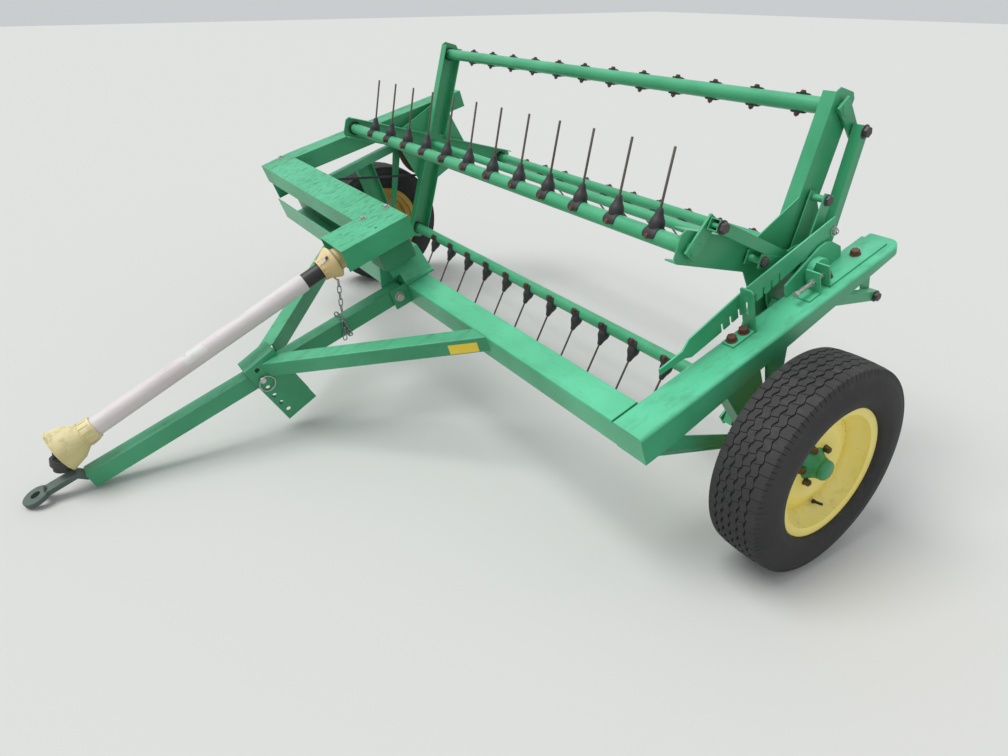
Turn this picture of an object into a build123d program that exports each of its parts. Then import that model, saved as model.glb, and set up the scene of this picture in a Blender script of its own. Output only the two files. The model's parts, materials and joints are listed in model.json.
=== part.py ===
from build123d import *
import os
from math import acos, asin, atan2, cos, degrees, hypot, radians, sin, tan

# Trailed hay tedder with a belt-driven reel of four feathering tine bars.
# Millimetres. The machine is laid out level, in its own frame: x across, positive to its left
# side, a rearwards and b upwards from the top front edge of the front beam. It is then turned
# nose-down about its axle until the drawbar eye lies on the ground, which is how it parks.

# Wheels and axle
TYRE_RADIUS = 340.0
TYRE_WIDTH = 205.0
TREAD_WIDTH = 161.0
TREAD_DROP = 26.0
RIM_RADIUS = 190.5
RIM_WIDTH = 152.0
RIM_FLANGE = 22.0
RIM_GAUGE = 4.0
WELL_DEPTH = 26.0
DISC_SEAT = 8.0
HUB_BORE = 34.0
HUB_REACH = 96.0
HUB_RADIUS = 38.0
HUB_FLANGE = 80.0
CAP_REACH = 66.0
AXLE_A = 456.0
AXLE_B = -340.0
SPINDLE_RADIUS = 16.0
SPINDLE_REACH = 34.0
AXLE_BOSS_RADIUS = 34.0
STUD_COUNT = 5
STUD_CIRCLE = 60.0
STUD_RADIUS = 6.0
NUT_RADIUS = 10.5
NUT_HEIGHT = 14.0

# Running clearances
SPACE = 0.3
RUNNING = 0.05
MOVING = 5.0

# Reel
REEL_A = 837.0
REEL_B = 26.0
BAR_CIRCLE = 473.0
BAR_RADIUS = 25.4
BAR_WALL = 4.0
FIRST_BAR = 56.1
BAR_NAMES = ["top", "front", "bottom", "rear"]
SPIDER_RIGHT = -1245.0
SPIDER_LEFT = 1136.0
ARM_TIP = 527.0
ARM_WIDTH = 100.0
ARM_DEPTH = 48.0
ARM_GAUGE = 5.0
ARM_CORNER = 16.0
ARM_FOOT = 60.0
GUSSET_REACH = 200.0
REEL_SHAFT_RADIUS = 20.0
TINE_COUNT = 12
TINE_PITCH = 180.0
TINE_MARGIN = 146.0
TINE_RADIUS = 4.0
TINE_REACH = 250.0
BOOT_WIDTH = 44.0
BOOT_WALL = 7.0
BOOT_RADIUS = 22.0
BOOT_HEIGHT = 70.0
BOOT_NECK = 7.5

# Feathering gear on the reel's left end, from the spider outwards
CRANK_LENGTH = 85.0
CRANK_GAUGE = 8.0
CRANK_WIDTH = 52.0
CRANK_GAP = 10.0
CRANK_OVERHANG = 22.0
STUB_RADIUS = 19.0
HUB_DROP = 68.0
HUB_PIN_CIRCLE = 100.0
HUB_PLATE_MARGIN = 22.0
HUB_PLATE_GAUGE = 7.0
HUB_LAG = 42.5
LINK_LENGTH = 410.0
LINK_SIZE = 35.0
LINK_WALL = 3.0
LINK_OVERHANG = 12.0
TINE_LEAD = 27.0
BOSS_RADIUS = 32.0
STAY_GAUGE = 5.0
STAY_START = 40.0
STAY_REACH = 210.0
STAY_WIDTH = 44.0
STAY_OVERHANG = 18.0
STAY_BUSH = 11.0
PIN_RADIUS = 8.0
PIN_PROUD = 9.0
CRANK_X = SPIDER_LEFT + CRANK_GAP
LINK_X = CRANK_X + CRANK_GAUGE + MOVING
HUB_PLATE_X = LINK_X - HUB_PLATE_GAUGE - 5 * SPACE
STAY_INNER_X = HUB_PLATE_X - STAY_GAUGE - SPACE
STAY_OUTER_X = LINK_X + LINK_SIZE + SPACE
GEAR_END_X = STAY_OUTER_X + STAY_GAUGE + PIN_PROUD

# Frame members: the left side beam stands clear of the gear, and the right rail outside the belt
BEAM_SIZE = 101.6
BEAM_WALL = 6.4
SIDE_GAP = 11.4
SIDE_WIDTH = 120.0
SIDE_INNER = GEAR_END_X + SIDE_GAP
SIDE_OUTER = SIDE_INNER + SIDE_WIDTH
SIDE_LENGTH = 1130.0
SIDE_GAUGE = 6.0
SIDE_BEND = 14.0
SIDE_CORNER = 40.0
SIDE_DEPTH_FRONT = 100.0
SIDE_DEPTH_REAR = 27.0
CHANNEL_FRONT = -50.0
CHANNEL_REAR = 50.0
CHANNEL_FLOOR = -20.0
CHANNEL_TOP = 90.0
CHANNEL_GAUGE = 5.0
BELT_GAP = 55.0
BELT_X = SPIDER_RIGHT - BELT_GAP
RAIL_GAP = 53.0
RAIL_WIDTH = 47.0
RAIL_INNER = BELT_X - RAIL_GAP
RAIL_OUTER = RAIL_INNER - RAIL_WIDTH
RAIL_TOP = 85.0
RAIL_DEPTH = 40.0
RAIL_REAR = 980.0
RAIL_WALL = 4.0
WHEEL_GAP = 65.0
WHEEL_X = {
    "left": SIDE_OUTER + WHEEL_GAP + TYRE_WIDTH / 2,
    "right": RAIL_OUTER - MOVING - TYRE_WIDTH / 2,
}

# Wheel legs
LEG_TOP_FRONT = 300.0
LEG_TOP_REAR = 465.0
LEG_DEPTH = 50.0
LEG_FOOT = 40.0
UPRIGHT_FRONT = 510.0
UPRIGHT_REAR = 610.0
BOSS_PROUD = 22.0
BRACE_TOP_FRONT = 18.0
BRACE_TOP_REAR = 90.0
BRACE_TOP_DROP = 60.0
BRACE_FOOT_LEAD = 66.0
BRACE_FOOT_DEPTH = 52.0
BRACE_LIP = 46.0
POST_WIDTH = 96.0
STRAP_TOP = 640.0
STRAP_WIDTH = 50.0
STRAP_GAUGE = 8.0

# Belt drive
DRIVEN_RADIUS = 186.0
DRIVE_RADIUS = 50.0
SHEAVE_WIDTH = 26.0
BELT_DEPTH = 11.0
GROOVE_DEPTH = 14.0
GROOVE_FLOOR = 5.0
GROOVE_MOUTH = 10.0
SHEAVE_WEB = 40.0
SHEAVE_HUB = 20.0
SHEAVE_GAUGE = 8.0
SHEAVE_PROUD = 8.0
SHAFT_A = 30.0
SHAFT_B = 218.0
SHAFT_RADIUS = 15.0

# Reel bearings, belt adjuster and pitch lever
BEARING_INSET = 11.0
BEARING_GAUGE = 8.0
BEARING_RADIUS = 130.0
HOUSING_RADIUS = 46.0
HOUSING_DEPTH = 23.0
HOUSING_BORE = 13.0
FOOT_WIDTH = 88.0
FOOT_LEAD = 22.0
FOOT_TAIL = 258.0
LIP_HEIGHT = 76.0
LUG_BREADTH = 48.0
LUG_LEAD = 45.0
LUG_TAIL = 72.0
ADJUSTER_RADIUS = 6.0
LEVER_FRONT = 192.0
LEVER_REAR = 959.0
LEVER_GAUGE = 6.0
NOTCH_COUNT = 8
NOTCH_START = 446.0
NOTCH_PITCH = 36.0
NOTCH_DEPTH = 26.0
BRACKET_A = 522.0
BRACKET_WIDTH = 58.0
BRACKET_HEIGHT = 180.0

# Sheet-metal covers
COVER_TOP = 279.0
COVER_DEPTH = 89.0
COVER_GAUGE = 3.0
COVER_FRONT = -50.0
COVER_REAR = 100.0
COVER_LEFT = -210.0
BOX_FRONT = -200.0
GUARD_GAP = 20.0
GUARD_WIDTH = 125.0
GUARD_INNER = BELT_X + GUARD_GAP
GUARD_OUTER = GUARD_INNER - GUARD_WIDTH
GUARD_REAR = 1120.0
GUARD_FALL = 4.0
STAND_GAUGE = 8.0
STAND_HOUSING = 34.0
STAY_INSET = 200.0
STAY_BREADTH = 40.0

# Drawbar
DRAWBAR_SIZE = 63.5
DRAWBAR_WALL = 5.0
DRAWBAR_X = -85.0
BEAM_RIGHT = DRAWBAR_X - DRAWBAR_SIZE / 2 - MOVING
DRAWBAR_PIVOT_A = -47.0
DRAWBAR_PIVOT_B = -28.0
DRAWBAR_LENGTH = 1309.0
DRAWBAR_TAIL = 25.0
DRAWBAR_DROOP = 0.76
PIVOT_RADIUS = 12.5
LUG_GAUGE = 8.0
LUG_REACH = 78.0
LUG_DROP = 77.0
LUG_TOP = 8.0
LUG_FOOT = -10.0
EYE_REACH = 1475.0
EYE_RADIUS = 52.0
EYE_BORE = 16.7
EYE_GAUGE = 19.0
EYE_BAR_WIDTH = 50.0
HOLE_CIRCLE = 630.0
HOLE_STEP = 4.0
HOLE_COUNT = 6
PINNED_HOLE = 1
HOLE_RADIUS = 9.5
PIN_TAIL = 14.0
RING_RADIUS = 25.0
RING_WIRE = 4.4
PLATE_WIDTH = 137.0
PLATE_LENGTH = 276.0
PLATE_NEAR_END = 515.0
PLATE_RISE = 173.0
PLATE_TILT = 10.9
BRACE_SIZE = 63.5
BRACE_WALL = 4.0
BRACE_LEFT_X = 555.0
BRACE_APEX = -612.0
BRACE_RISE = 25.0
BRACE_RIGHT_X = -750.0

# Gearbox and driveline
GEARBOX_X = -105.0
GEARBOX_WIDTH = 150.0
GEARBOX_FRONT = -60.0
GEARBOX_REAR = 88.0
MOUNT_GAUGE = 8.0
GEARBOX_LID = 9.0
GEARBOX_CORNER = 18.0
SEAL_RADIUS = 38.0
SEAL_LENGTH = 16.0
SHAFT_SEAT = 30.0
JOINT_A = -185.0
JOINT_B = 216.0
INPUT_BOSS_FRONT = -150.0
INPUT_BOSS_LENGTH = 44.0
INPUT_BOSS_RADIUS = 26.0
FORK_GAP = 19.0
FORK_GAUGE = 8.0
FORK_HALF = 13.0
TRUNNION_RADIUS = 7.0
DRIVELINE_DROOP = 6.0
OUTER_TUBE_RADIUS = 35.0
OUTER_TUBE_START = 170.0
OUTER_TUBE_END = 1080.0
TUBE_GAUGE = 4.0
INNER_TUBE_RADIUS = OUTER_TUBE_RADIUS - TUBE_GAUGE - SPACE
CONE_RADIUS = 64.0
CONE_START = 30.0
CONE_END = 78.0
FRONT_CONE_END = 1198.0
FRONT_CONE_RADIUS = 80.0
YOKE_PIVOT = 1194.0
YOKE_DROOP = 55.0
YOKE_BORE = 17.46
YOKE_NECK = 24.0
YOKE_END = 76.0
YOKE_RADIUS = 28.0
COLLAR_RADIUS = 38.0
COLLAR_START = 30.0
COLLAR_END = 54.0

# Shield chain, from the rear cone down to its turn round the drawbar
CHAIN_WIRE = 5.0
CHAIN_PITCH = 26.5
CHAIN_WIDTH = 20.0
CHAIN_COUNT = 5
CHAIN_ALONG = 52.0
CHAIN_SIDE = 45.0
CHAIN_TURN = 248.0
CHAIN_TAIL = 3
PEG_RADIUS = 3.5
PEG_ROOT = -2.0

# Twine tied round the hitch end
TWINE_RADIUS = 1.6


# The parked stance: the tyres and the front edge of the eye's ring touch one ground line.
droop = radians(DRAWBAR_DROOP)
EYE_LIFT = DRAWBAR_SIZE / 2
toe_a = DRAWBAR_PIVOT_A - (EYE_REACH + EYE_RADIUS) * cos(droop) - EYE_LIFT * sin(droop)
toe_b = DRAWBAR_PIVOT_B - (EYE_REACH + EYE_RADIUS) * sin(droop) + EYE_LIFT * cos(droop)
span_a = AXLE_A - toe_a
span_b = AXLE_B - toe_b
NOSE_DOWN = degrees(asin(TYRE_RADIUS / hypot(span_a, span_b)) - atan2(span_b, span_a))


def parked(a, b):
    """Height and distance behind the axle of a point of the level machine, once parked."""
    turn = radians(NOSE_DOWN)
    da = a - AXLE_A
    db = b - AXLE_B
    return (da * cos(turn) - db * sin(turn), TYRE_RADIUS + da * sin(turn) + db * cos(turn))


def group(shapes):
    """Several separate solids as one node."""
    return Compound([solid for shape in shapes for solid in shape.solids()])


def block(x0, x1, a0, a1, b0, b1):
    """Square block between two opposite corners."""
    place = Pos((x0 + x1) / 2, (a0 + a1) / 2, (b0 + b1) / 2)
    return place * Box(abs(x1 - x0), abs(a1 - a0), abs(b1 - b0))


def rod(x0, x1, a, b, radius, bore=0.0):
    """Round bar or bush lying across the machine."""
    place = Pos((x0 + x1) / 2, a, b) * Rot(0, 90, 0)
    solid = place * Cylinder(radius, abs(x1 - x0))
    if bore > 0:
        solid -= place * Cylinder(bore, abs(x1 - x0))
    return solid


def side_plate(points, x0, x1):
    """Flat plate that faces sideways, from its outline of (a, b) points."""
    face = make_face(Polyline(*[(x0, a, b) for a, b in points], close=True))
    return extrude(face, amount=abs(x1 - x0), dir=(1 if x1 > x0 else -1, 0, 0))


def section_along(face, start, end):
    """Section of a straight member, pushed from one point to another."""
    run = Vector(*end) - Vector(*start)
    flat = Vector(run.X, run.Y, 0)
    side = Vector(flat.Y, -flat.X, 0) if flat.length > 1e-6 else Vector(1, 0, 0)
    plane = Plane(origin=start, x_dir=side.normalized(), z_dir=run.normalized())
    return extrude(plane * face, amount=run.length)


def square_section(size, wall):
    """Hollow square section with rounded outer corners."""
    return RectangleRounded(size, size, wall * 1.2) - Rectangle(size - 2 * wall, size - 2 * wall)


def polar(radius, angle, a=0.0, b=0.0):
    """Point at a radius and an angle, measured from the rearward direction upwards."""
    turn = radians(angle)
    return (a + radius * cos(turn), b + radius * sin(turn))


def make_tyre():
    """Tyre turned about its own X axis: open beads, swelling side walls and a square-shouldered tread."""
    bead = RIM_RADIUS + SPACE
    seat = RIM_WIDTH / 2 - RIM_GAUGE
    half = TYRE_WIDTH / 2
    flank = (bead + TYRE_RADIUS) / 2 + SPINDLE_RADIUS / 4
    wall = [(seat, bead), (seat, bead + RIM_FLANGE), (half, flank), (half - MOVING, TYRE_RADIUS - TREAD_DROP),
            (TREAD_WIDTH / 2, TYRE_RADIUS)]
    far_wall = [(-x, r) for x, r in reversed(wall)]
    return revolve(make_face(Polyline(*wall, *far_wall, close=True)), Axis.X)


def stud_spots(x):
    """Places of the wheel studs round the hub, at one distance from the wheel's middle."""
    return [(x, *polar(STUD_CIRCLE, 360 * k / STUD_COUNT + 90)) for k in range(STUD_COUNT)]


def prism(spot, radius, sides, length):
    """Many-sided bar that starts at a spot and runs along +X."""
    return extrude(Plane(origin=spot, z_dir=(1, 0, 0)) * RegularPolygon(radius, sides), amount=length)


def make_rim():
    """Steel wheel: flanged barrel with a drop centre, and a dished disc with stud holes."""
    lip = RIM_WIDTH / 2
    top = RIM_RADIUS + RIM_FLANGE
    inner = RIM_RADIUS - RIM_GAUGE
    well = RIM_RADIUS - WELL_DEPTH
    shoulder = WELL_DEPTH
    half_wall = [(0, well), (shoulder, RIM_RADIUS), (lip - RIM_GAUGE, RIM_RADIUS), (lip - RIM_GAUGE, top),
                 (lip, top), (lip, inner), (shoulder, inner), (0, well - RIM_GAUGE)]
    other_wall = [(-x, r) for x, r in reversed(half_wall[1:-1])]
    barrel = Polyline(*half_wall, *other_wall, close=True)
    face = DISC_SEAT + RIM_GAUGE
    disc = Polyline(
        (DISC_SEAT, HUB_BORE), (DISC_SEAT, 84), (20, 110), (6, well + RIM_GAUGE),
        (6 + RIM_GAUGE, well + 2 * RIM_GAUGE), (25, 110), (face, 82), (face, HUB_BORE),
        close=True,
    )
    wheel = revolve(make_face(barrel), Axis.X) + revolve(make_face(disc), Axis.X)
    for spot in stud_spots(0):
        wheel -= prism(spot, STUD_RADIUS + SPACE, 8, lip)
    return wheel


def make_hub():
    """Hub barrel, mounting flange, studs with nuts and the domed grease cap, bored for the spindle."""
    flange = DISC_SEAT - 12
    profile = Polyline(
        (-HUB_REACH, 0), (-HUB_REACH, HUB_RADIUS), (flange, HUB_RADIUS), (flange, HUB_FLANGE),
        (DISC_SEAT, HUB_FLANGE), (DISC_SEAT, HUB_BORE - 1), (CAP_REACH - 10, 27), (CAP_REACH, 16), (CAP_REACH, 0),
        close=True,
    )
    hub = revolve(make_face(profile), Axis.X)
    for spot in stud_spots(flange):
        hub += prism(spot, STUD_RADIUS, 8, NUT_HEIGHT + 16)
    for spot in stud_spots(DISC_SEAT + RIM_GAUGE):
        hub += prism(spot, NUT_RADIUS, 6, NUT_HEIGHT)
    return hub - rod(-HUB_REACH - 1, SPINDLE_REACH + 6, 0, 0, SPINDLE_RADIUS + RUNNING)


def make_front_beam():
    """Square main beam across the machine, ahead of the reel."""
    place = Plane(origin=(BEAM_RIGHT, BEAM_SIZE / 2, -BEAM_SIZE / 2), x_dir=(0, 1, 0), z_dir=(1, 0, 0))
    return extrude(place * square_section(BEAM_SIZE, BEAM_WALL), amount=SIDE_INNER - BEAM_RIGHT)


def make_side_beam():
    """Left side beam: folded channel, open below, shallower to the rear, with a closed front end."""
    width = SIDE_OUTER - SIDE_INNER
    middle = (SIDE_OUTER + SIDE_INNER) / 2
    tall = SIDE_DEPTH_FRONT + 2 * SIDE_BEND
    top = Plane(origin=(middle, 0, -tall / 2), x_dir=(1, 0, 0), z_dir=(0, -1, 0))
    skin = extrude(top * RectangleRounded(width, tall, SIDE_BEND), amount=-SIDE_LENGTH)
    hollow = block(
        SIDE_INNER + SIDE_GAUGE, SIDE_OUTER - SIDE_GAUGE, SIDE_GAUGE, SIDE_LENGTH + 1,
        -tall - 1, -SIDE_GAUGE,
    )
    under = side_plate(
        [(-1, -tall - 1), (SIDE_LENGTH + 1, -tall - 1), (SIDE_LENGTH + 1, -SIDE_DEPTH_REAR),
         (BEAM_SIZE, -SIDE_DEPTH_FRONT), (-1, -SIDE_DEPTH_FRONT)],
        SIDE_INNER - 1, SIDE_OUTER + 1,
    )
    beam = skin - hollow - under
    inset = (SIDE_OUTER - SIDE_CORNER, SIDE_LENGTH - SIDE_CORNER)
    corner = Pos(*inset, 0) * Cylinder(SIDE_CORNER, 4 * tall)
    square = block(inset[0], SIDE_OUTER + 1, inset[1], SIDE_LENGTH + 1, -tall, tall)
    return beam - (square - corner)


def make_cross_channel():
    """Open-topped channel across to the right-hand side, with the lug plate that closes its end."""
    shell = block(RAIL_OUTER, BEAM_RIGHT - LUG_GAUGE, CHANNEL_FRONT, CHANNEL_REAR, CHANNEL_FLOOR, CHANNEL_TOP)
    inside = block(
        RAIL_OUTER - 1, BEAM_RIGHT + 1, CHANNEL_FRONT + CHANNEL_GAUGE, CHANNEL_REAR - CHANNEL_GAUGE,
        CHANNEL_FLOOR + CHANNEL_GAUGE, CHANNEL_TOP + 1,
    )
    end = side_plate([(CHANNEL_REAR, CHANNEL_FLOOR), (LUG_FOOT, -LUG_DROP), (-LUG_REACH, -LUG_DROP),
                      (-LUG_REACH, LUG_TOP), (CHANNEL_FRONT, CHANNEL_TOP), (CHANNEL_REAR, CHANNEL_TOP)],
                     BEAM_RIGHT - LUG_GAUGE, BEAM_RIGHT)
    end -= rod(BEAM_RIGHT - LUG_GAUGE - 1, BEAM_RIGHT + 1, DRAWBAR_PIVOT_A, DRAWBAR_PIVOT_B,
               PIVOT_RADIUS + SPACE)
    return shell - inside + end


def make_side_rail():
    """Right-hand side rail, from the cross channel back past the reel's bearing."""
    middle = (RAIL_OUTER + RAIL_INNER) / 2
    width = RAIL_INNER - RAIL_OUTER
    rail = block(RAIL_OUTER, RAIL_INNER, CHANNEL_REAR, RAIL_REAR, RAIL_TOP - RAIL_DEPTH, RAIL_TOP)
    hollow = block(
        RAIL_OUTER + RAIL_WALL, RAIL_INNER - RAIL_WALL, CHANNEL_REAR - 1, RAIL_REAR + 1,
        RAIL_TOP - RAIL_DEPTH + RAIL_WALL, RAIL_TOP - RAIL_WALL,
    )
    return rail - hollow


def make_left_leg():
    """Left wheel leg: a folded plate and an upright that meet at the axle boss with its stub spindle."""
    x1 = SIDE_OUTER - SIDE_GAUGE
    x0 = x1 - LEG_DEPTH
    top = -SIDE_GAUGE
    foot = [(AXLE_A + LEG_FOOT, AXLE_B), (AXLE_A - LEG_FOOT, AXLE_B)]
    wide = side_plate([(LEG_TOP_FRONT, top), (LEG_TOP_REAR, top)] + foot, x0, x1)
    slim = LEG_FOOT - SIDE_GAUGE
    wide -= side_plate([(LEG_TOP_FRONT + SIDE_GAUGE, top + 1), (LEG_TOP_REAR - SIDE_GAUGE, top + 1),
                        (AXLE_A + slim, AXLE_B - 1), (AXLE_A - slim, AXLE_B - 1)], x0 - 1, x1 - SIDE_GAUGE)
    upright = side_plate([(UPRIGHT_FRONT, top), (UPRIGHT_REAR, top), (AXLE_A + 60, AXLE_B + 20),
                          (AXLE_A + 30, AXLE_B)], x1 - 2 * SIDE_GAUGE, x1)
    boss = rod(x0, x1 + BOSS_PROUD, AXLE_A, AXLE_B, AXLE_BOSS_RADIUS)
    spindle = rod(x1, WHEEL_X["left"] + SPINDLE_REACH, AXLE_A, AXLE_B, SPINDLE_RADIUS)
    return wide + upright + boss + spindle


def make_leg_brace():
    """Angle brace from under the front beam down and back to the left axle boss."""
    x1 = SIDE_OUTER - SIDE_GAUGE
    foot_a = AXLE_A - BRACE_FOOT_LEAD
    low = AXLE_B + 2
    face = side_plate([(BRACE_TOP_FRONT, -BRACE_TOP_DROP), (BRACE_TOP_REAR, -BRACE_TOP_DROP),
                       (foot_a, low + BRACE_FOOT_DEPTH), (foot_a, low)], x1 - SIDE_GAUGE, x1)
    lip_a = BRACE_TOP_FRONT + 22
    lip = side_plate([(lip_a, -SIDE_DEPTH_FRONT), (lip_a + 10, -SIDE_DEPTH_FRONT), (foot_a, low + 9),
                      (foot_a, low)], x1 - BRACE_LIP, x1)
    return face + lip


def make_right_leg():
    """Right wheel leg: a broad folded post under the rail, a flat stay, a boss and the stub spindle."""
    half = POST_WIDTH / 2
    under = RAIL_TOP - RAIL_DEPTH
    post = block(RAIL_OUTER, RAIL_INNER, AXLE_A - half, AXLE_A + half, AXLE_B, under)
    post -= block(RAIL_OUTER + SIDE_GAUGE, RAIL_INNER + 1, AXLE_A - half + SIDE_GAUGE, AXLE_A + half - SIDE_GAUGE,
                  AXLE_B - 1, RAIL_TOP)
    boss = rod(RAIL_OUTER - MOVING + 1, RAIL_INNER, AXLE_A, AXLE_B, AXLE_BOSS_RADIUS)
    spindle = rod(WHEEL_X["right"] - SPINDLE_REACH, RAIL_OUTER, AXLE_A, AXLE_B, SPINDLE_RADIUS)
    low = AXLE_B + AXLE_BOSS_RADIUS
    stay = side_plate([(STRAP_TOP, under), (STRAP_TOP + STRAP_WIDTH, under), (AXLE_A + half, low),
                       (AXLE_A + half, low + STRAP_WIDTH)], RAIL_INNER - STRAP_GAUGE, RAIL_INNER)
    return post + boss + spindle + stay


def make_spider(outer, inward):
    """Reel end spider: four folded channel arms with rounded tips, tied by gussets at the hub."""
    inner = outer + inward * ARM_GAUGE
    depth = outer + inward * ARM_DEPTH
    half = ARM_WIDTH / 2
    web_low, web_high = sorted((outer, inner))
    flange_low, flange_high = sorted((inner, depth))
    outline = []
    corners = [(GUSSET_REACH, -half), (ARM_TIP - ARM_CORNER, -half), (ARM_TIP, ARM_CORNER - half),
               (ARM_TIP, half - ARM_CORNER), (ARM_TIP - ARM_CORNER, half), (GUSSET_REACH, half)]
    for k in range(4):
        outline += [arm_point(k, along, across) for along, across in corners]
    web = side_plate(outline, web_low, web_high)
    web -= rod(web_low - 1, web_high + 1, REEL_A, REEL_B, REEL_SHAFT_RADIUS)
    for k in range(4):
        for edge, slim in ((-half, ARM_GAUGE - half), (half, half - ARM_GAUGE)):
            spots = [(ARM_FOOT, edge), (ARM_TIP - ARM_CORNER, edge), (ARM_TIP - ARM_CORNER, slim), (ARM_FOOT, slim)]
            web += side_plate([arm_point(k, *spot) for spot in spots], flange_low, flange_high)
    return web


def arm_point(k, along, across):
    """Point beside one arm of the reel: outwards from the shaft and across the arm."""
    return polar(across, bar_angle(k) + 90, *polar(along, bar_angle(k), REEL_A, REEL_B))


def bar_angle(k):
    """Angle of a tine bar about the reel shaft."""
    return FIRST_BAR + 90 * k


def bar_centre(k):
    """Centre of a tine bar."""
    return polar(BAR_CIRCLE, bar_angle(k), REEL_A, REEL_B)


def hub_pin(k):
    """Pin of the eccentric hub that carries a bar's link."""
    return polar(HUB_PIN_CIRCLE, bar_angle(k) - HUB_LAG, REEL_A, REEL_B - HUB_DROP)


def crank_angle(k):
    """Direction of a bar's crank: its pin is one link from the hub pin and one crank from the bar."""
    bar = bar_centre(k)
    pin = hub_pin(k)
    reach = hypot(pin[0] - bar[0], pin[1] - bar[1])
    heading = atan2(pin[1] - bar[1], pin[0] - bar[0])
    bend = (CRANK_LENGTH ** 2 + reach ** 2 - LINK_LENGTH ** 2) / (2 * CRANK_LENGTH * reach)
    return degrees(heading + acos(bend))


def crank_pin(k):
    """Pin at the free end of a bar's crank."""
    return polar(CRANK_LENGTH, crank_angle(k), *bar_centre(k))


def make_bar(k):
    """Tine bar: a tube between the two spiders, with a stub through the left one for its crank."""
    a, b = bar_centre(k)
    tube = rod(SPIDER_RIGHT + ARM_GAUGE, SPIDER_LEFT - ARM_GAUGE, a, b, BAR_RADIUS, BAR_RADIUS - BAR_WALL)
    return tube


def make_boots(k):
    """Row of tines on a bar, each held in a rubber boot whose saddle wraps half the tube."""
    a, b = bar_centre(k)
    lead = crank_angle(k) + TINE_LEAD
    facet = 30
    bend = cos(radians(facet / 2))
    inner = BAR_RADIUS / bend
    outer = (BAR_RADIUS + BOOT_WALL) / bend
    turns = [facet * step - 90 for step in range(7)]
    ring = [polar(outer, turn) for turn in turns] + [polar(inner, turn) for turn in reversed(turns)]
    saddle = side_plate(ring, -BOOT_WIDTH / 2, BOOT_WIDTH / 2)
    foot = BAR_RADIUS + 1
    bulge = foot + 0.55 * BOOT_HEIGHT
    levels = [(foot, BOOT_RADIUS - 2), (bulge, BOOT_RADIUS), (foot + 0.8 * BOOT_HEIGHT, BOOT_NECK + 4),
              (foot + BOOT_HEIGHT, BOOT_NECK)]
    rings = [Plane(origin=(0, height, 0), z_dir=(0, 1, 0)) * RegularPolygon(radius, 6) for height, radius in levels]
    body = loft(rings, ruled=True)
    wire = extrude(Plane(origin=(0, bulge, 0), z_dir=(0, 1, 0)) * RegularPolygon(TINE_RADIUS, 6),
                   amount=TINE_REACH - bulge)
    boot = saddle + body + wire
    row = []
    for n in range(TINE_COUNT):
        spot = Pos(SPIDER_LEFT - TINE_MARGIN - n * TINE_PITCH, a, b)
        row.append(spot * Rot(lead, 0, 0) * boot)
    return group(row)


def make_stub_and_crank(k):
    """Crank plate on a bar's stub end, with the pin that takes the link."""
    bar = bar_centre(k)
    pin = crank_pin(k)
    turn = crank_angle(k)
    half = CRANK_WIDTH / 2
    spots = []
    reach = CRANK_LENGTH + CRANK_OVERHANG
    for along, across in ((-half, -half), (reach, -half * 0.8), (reach, half * 0.8), (-half, half)):
        spots.append(polar(across, turn + 90, *polar(along, turn, *bar)))
    plate = side_plate(spots, CRANK_X, CRANK_X + CRANK_GAUGE)
    plate += rod(SPIDER_LEFT, LINK_X - 5 * SPACE, bar[0], bar[1], STUB_RADIUS)
    plate += rod(CRANK_X - PIN_RADIUS, GEAR_END_X, pin[0], pin[1], PIN_RADIUS)
    return plate


def make_link(k):
    """Square-tube link from an eccentric hub pin out to a crank pin."""
    pin = crank_pin(k)
    inner = hub_pin(k)
    turn = degrees(atan2(pin[1] - inner[1], pin[0] - inner[0]))
    half = LINK_SIZE / 2
    spots = []
    for along, across in ((-LINK_OVERHANG, -half), (LINK_LENGTH + half, -half), (LINK_LENGTH + half, half),
                          (-LINK_OVERHANG, half)):
        spots.append(polar(across, turn + 90, *polar(along, turn, *inner)))
    link = side_plate(spots, LINK_X, LINK_X + LINK_SIZE)
    slim = half - LINK_WALL
    hollow = []
    for along, across in ((-half - 1, -slim), (LINK_LENGTH + half + 1, -slim), (LINK_LENGTH + half + 1, slim),
                          (-half - 1, slim)):
        hollow.append(polar(across, turn + 90, *polar(along, turn, *inner)))
    link -= side_plate(hollow, LINK_X + LINK_WALL, LINK_X + LINK_SIZE - LINK_WALL)
    for spot in (inner, pin):
        link -= rod(LINK_X - 1, LINK_X + LINK_SIZE + 1, spot[0], spot[1], PIN_RADIUS)
    return link


def make_eccentric():
    """Eccentric hub plate with its four pins, carried on a boss round the reel shaft."""
    plate = rod(HUB_PLATE_X, HUB_PLATE_X + HUB_PLATE_GAUGE, REEL_A, REEL_B - HUB_DROP, HUB_PIN_CIRCLE + HUB_PLATE_MARGIN)
    bore = REEL_SHAFT_RADIUS
    boss = rod(SPIDER_LEFT, LINK_X - 1, REEL_A, REEL_B, BOSS_RADIUS, bore)
    plate -= rod(HUB_PLATE_X - 1, HUB_PLATE_X + HUB_PLATE_GAUGE + 1, REEL_A, REEL_B, BOSS_RADIUS - 1)
    hub = plate + boss
    hub += rod(STAY_OUTER_X, GEAR_END_X, REEL_A, REEL_B, BOSS_RADIUS, bore)
    corners = [polar(STAY_START * 2 ** 0.5, bar_angle(k) + 45, REEL_A, REEL_B) for k in range(4)]
    for x0 in (STAY_INNER_X, STAY_OUTER_X):
        flange = side_plate(corners, x0, x0 + STAY_GAUGE)
        hub += flange - rod(x0 - 1, x0 + STAY_GAUGE + 1, REEL_A, REEL_B, BOSS_RADIUS - 1)
    for k in range(4):
        a, b = hub_pin(k)
        hub += rod(HUB_PLATE_X, LINK_X + LINK_SIZE, a, b, PIN_RADIUS)
    return hub


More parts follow.
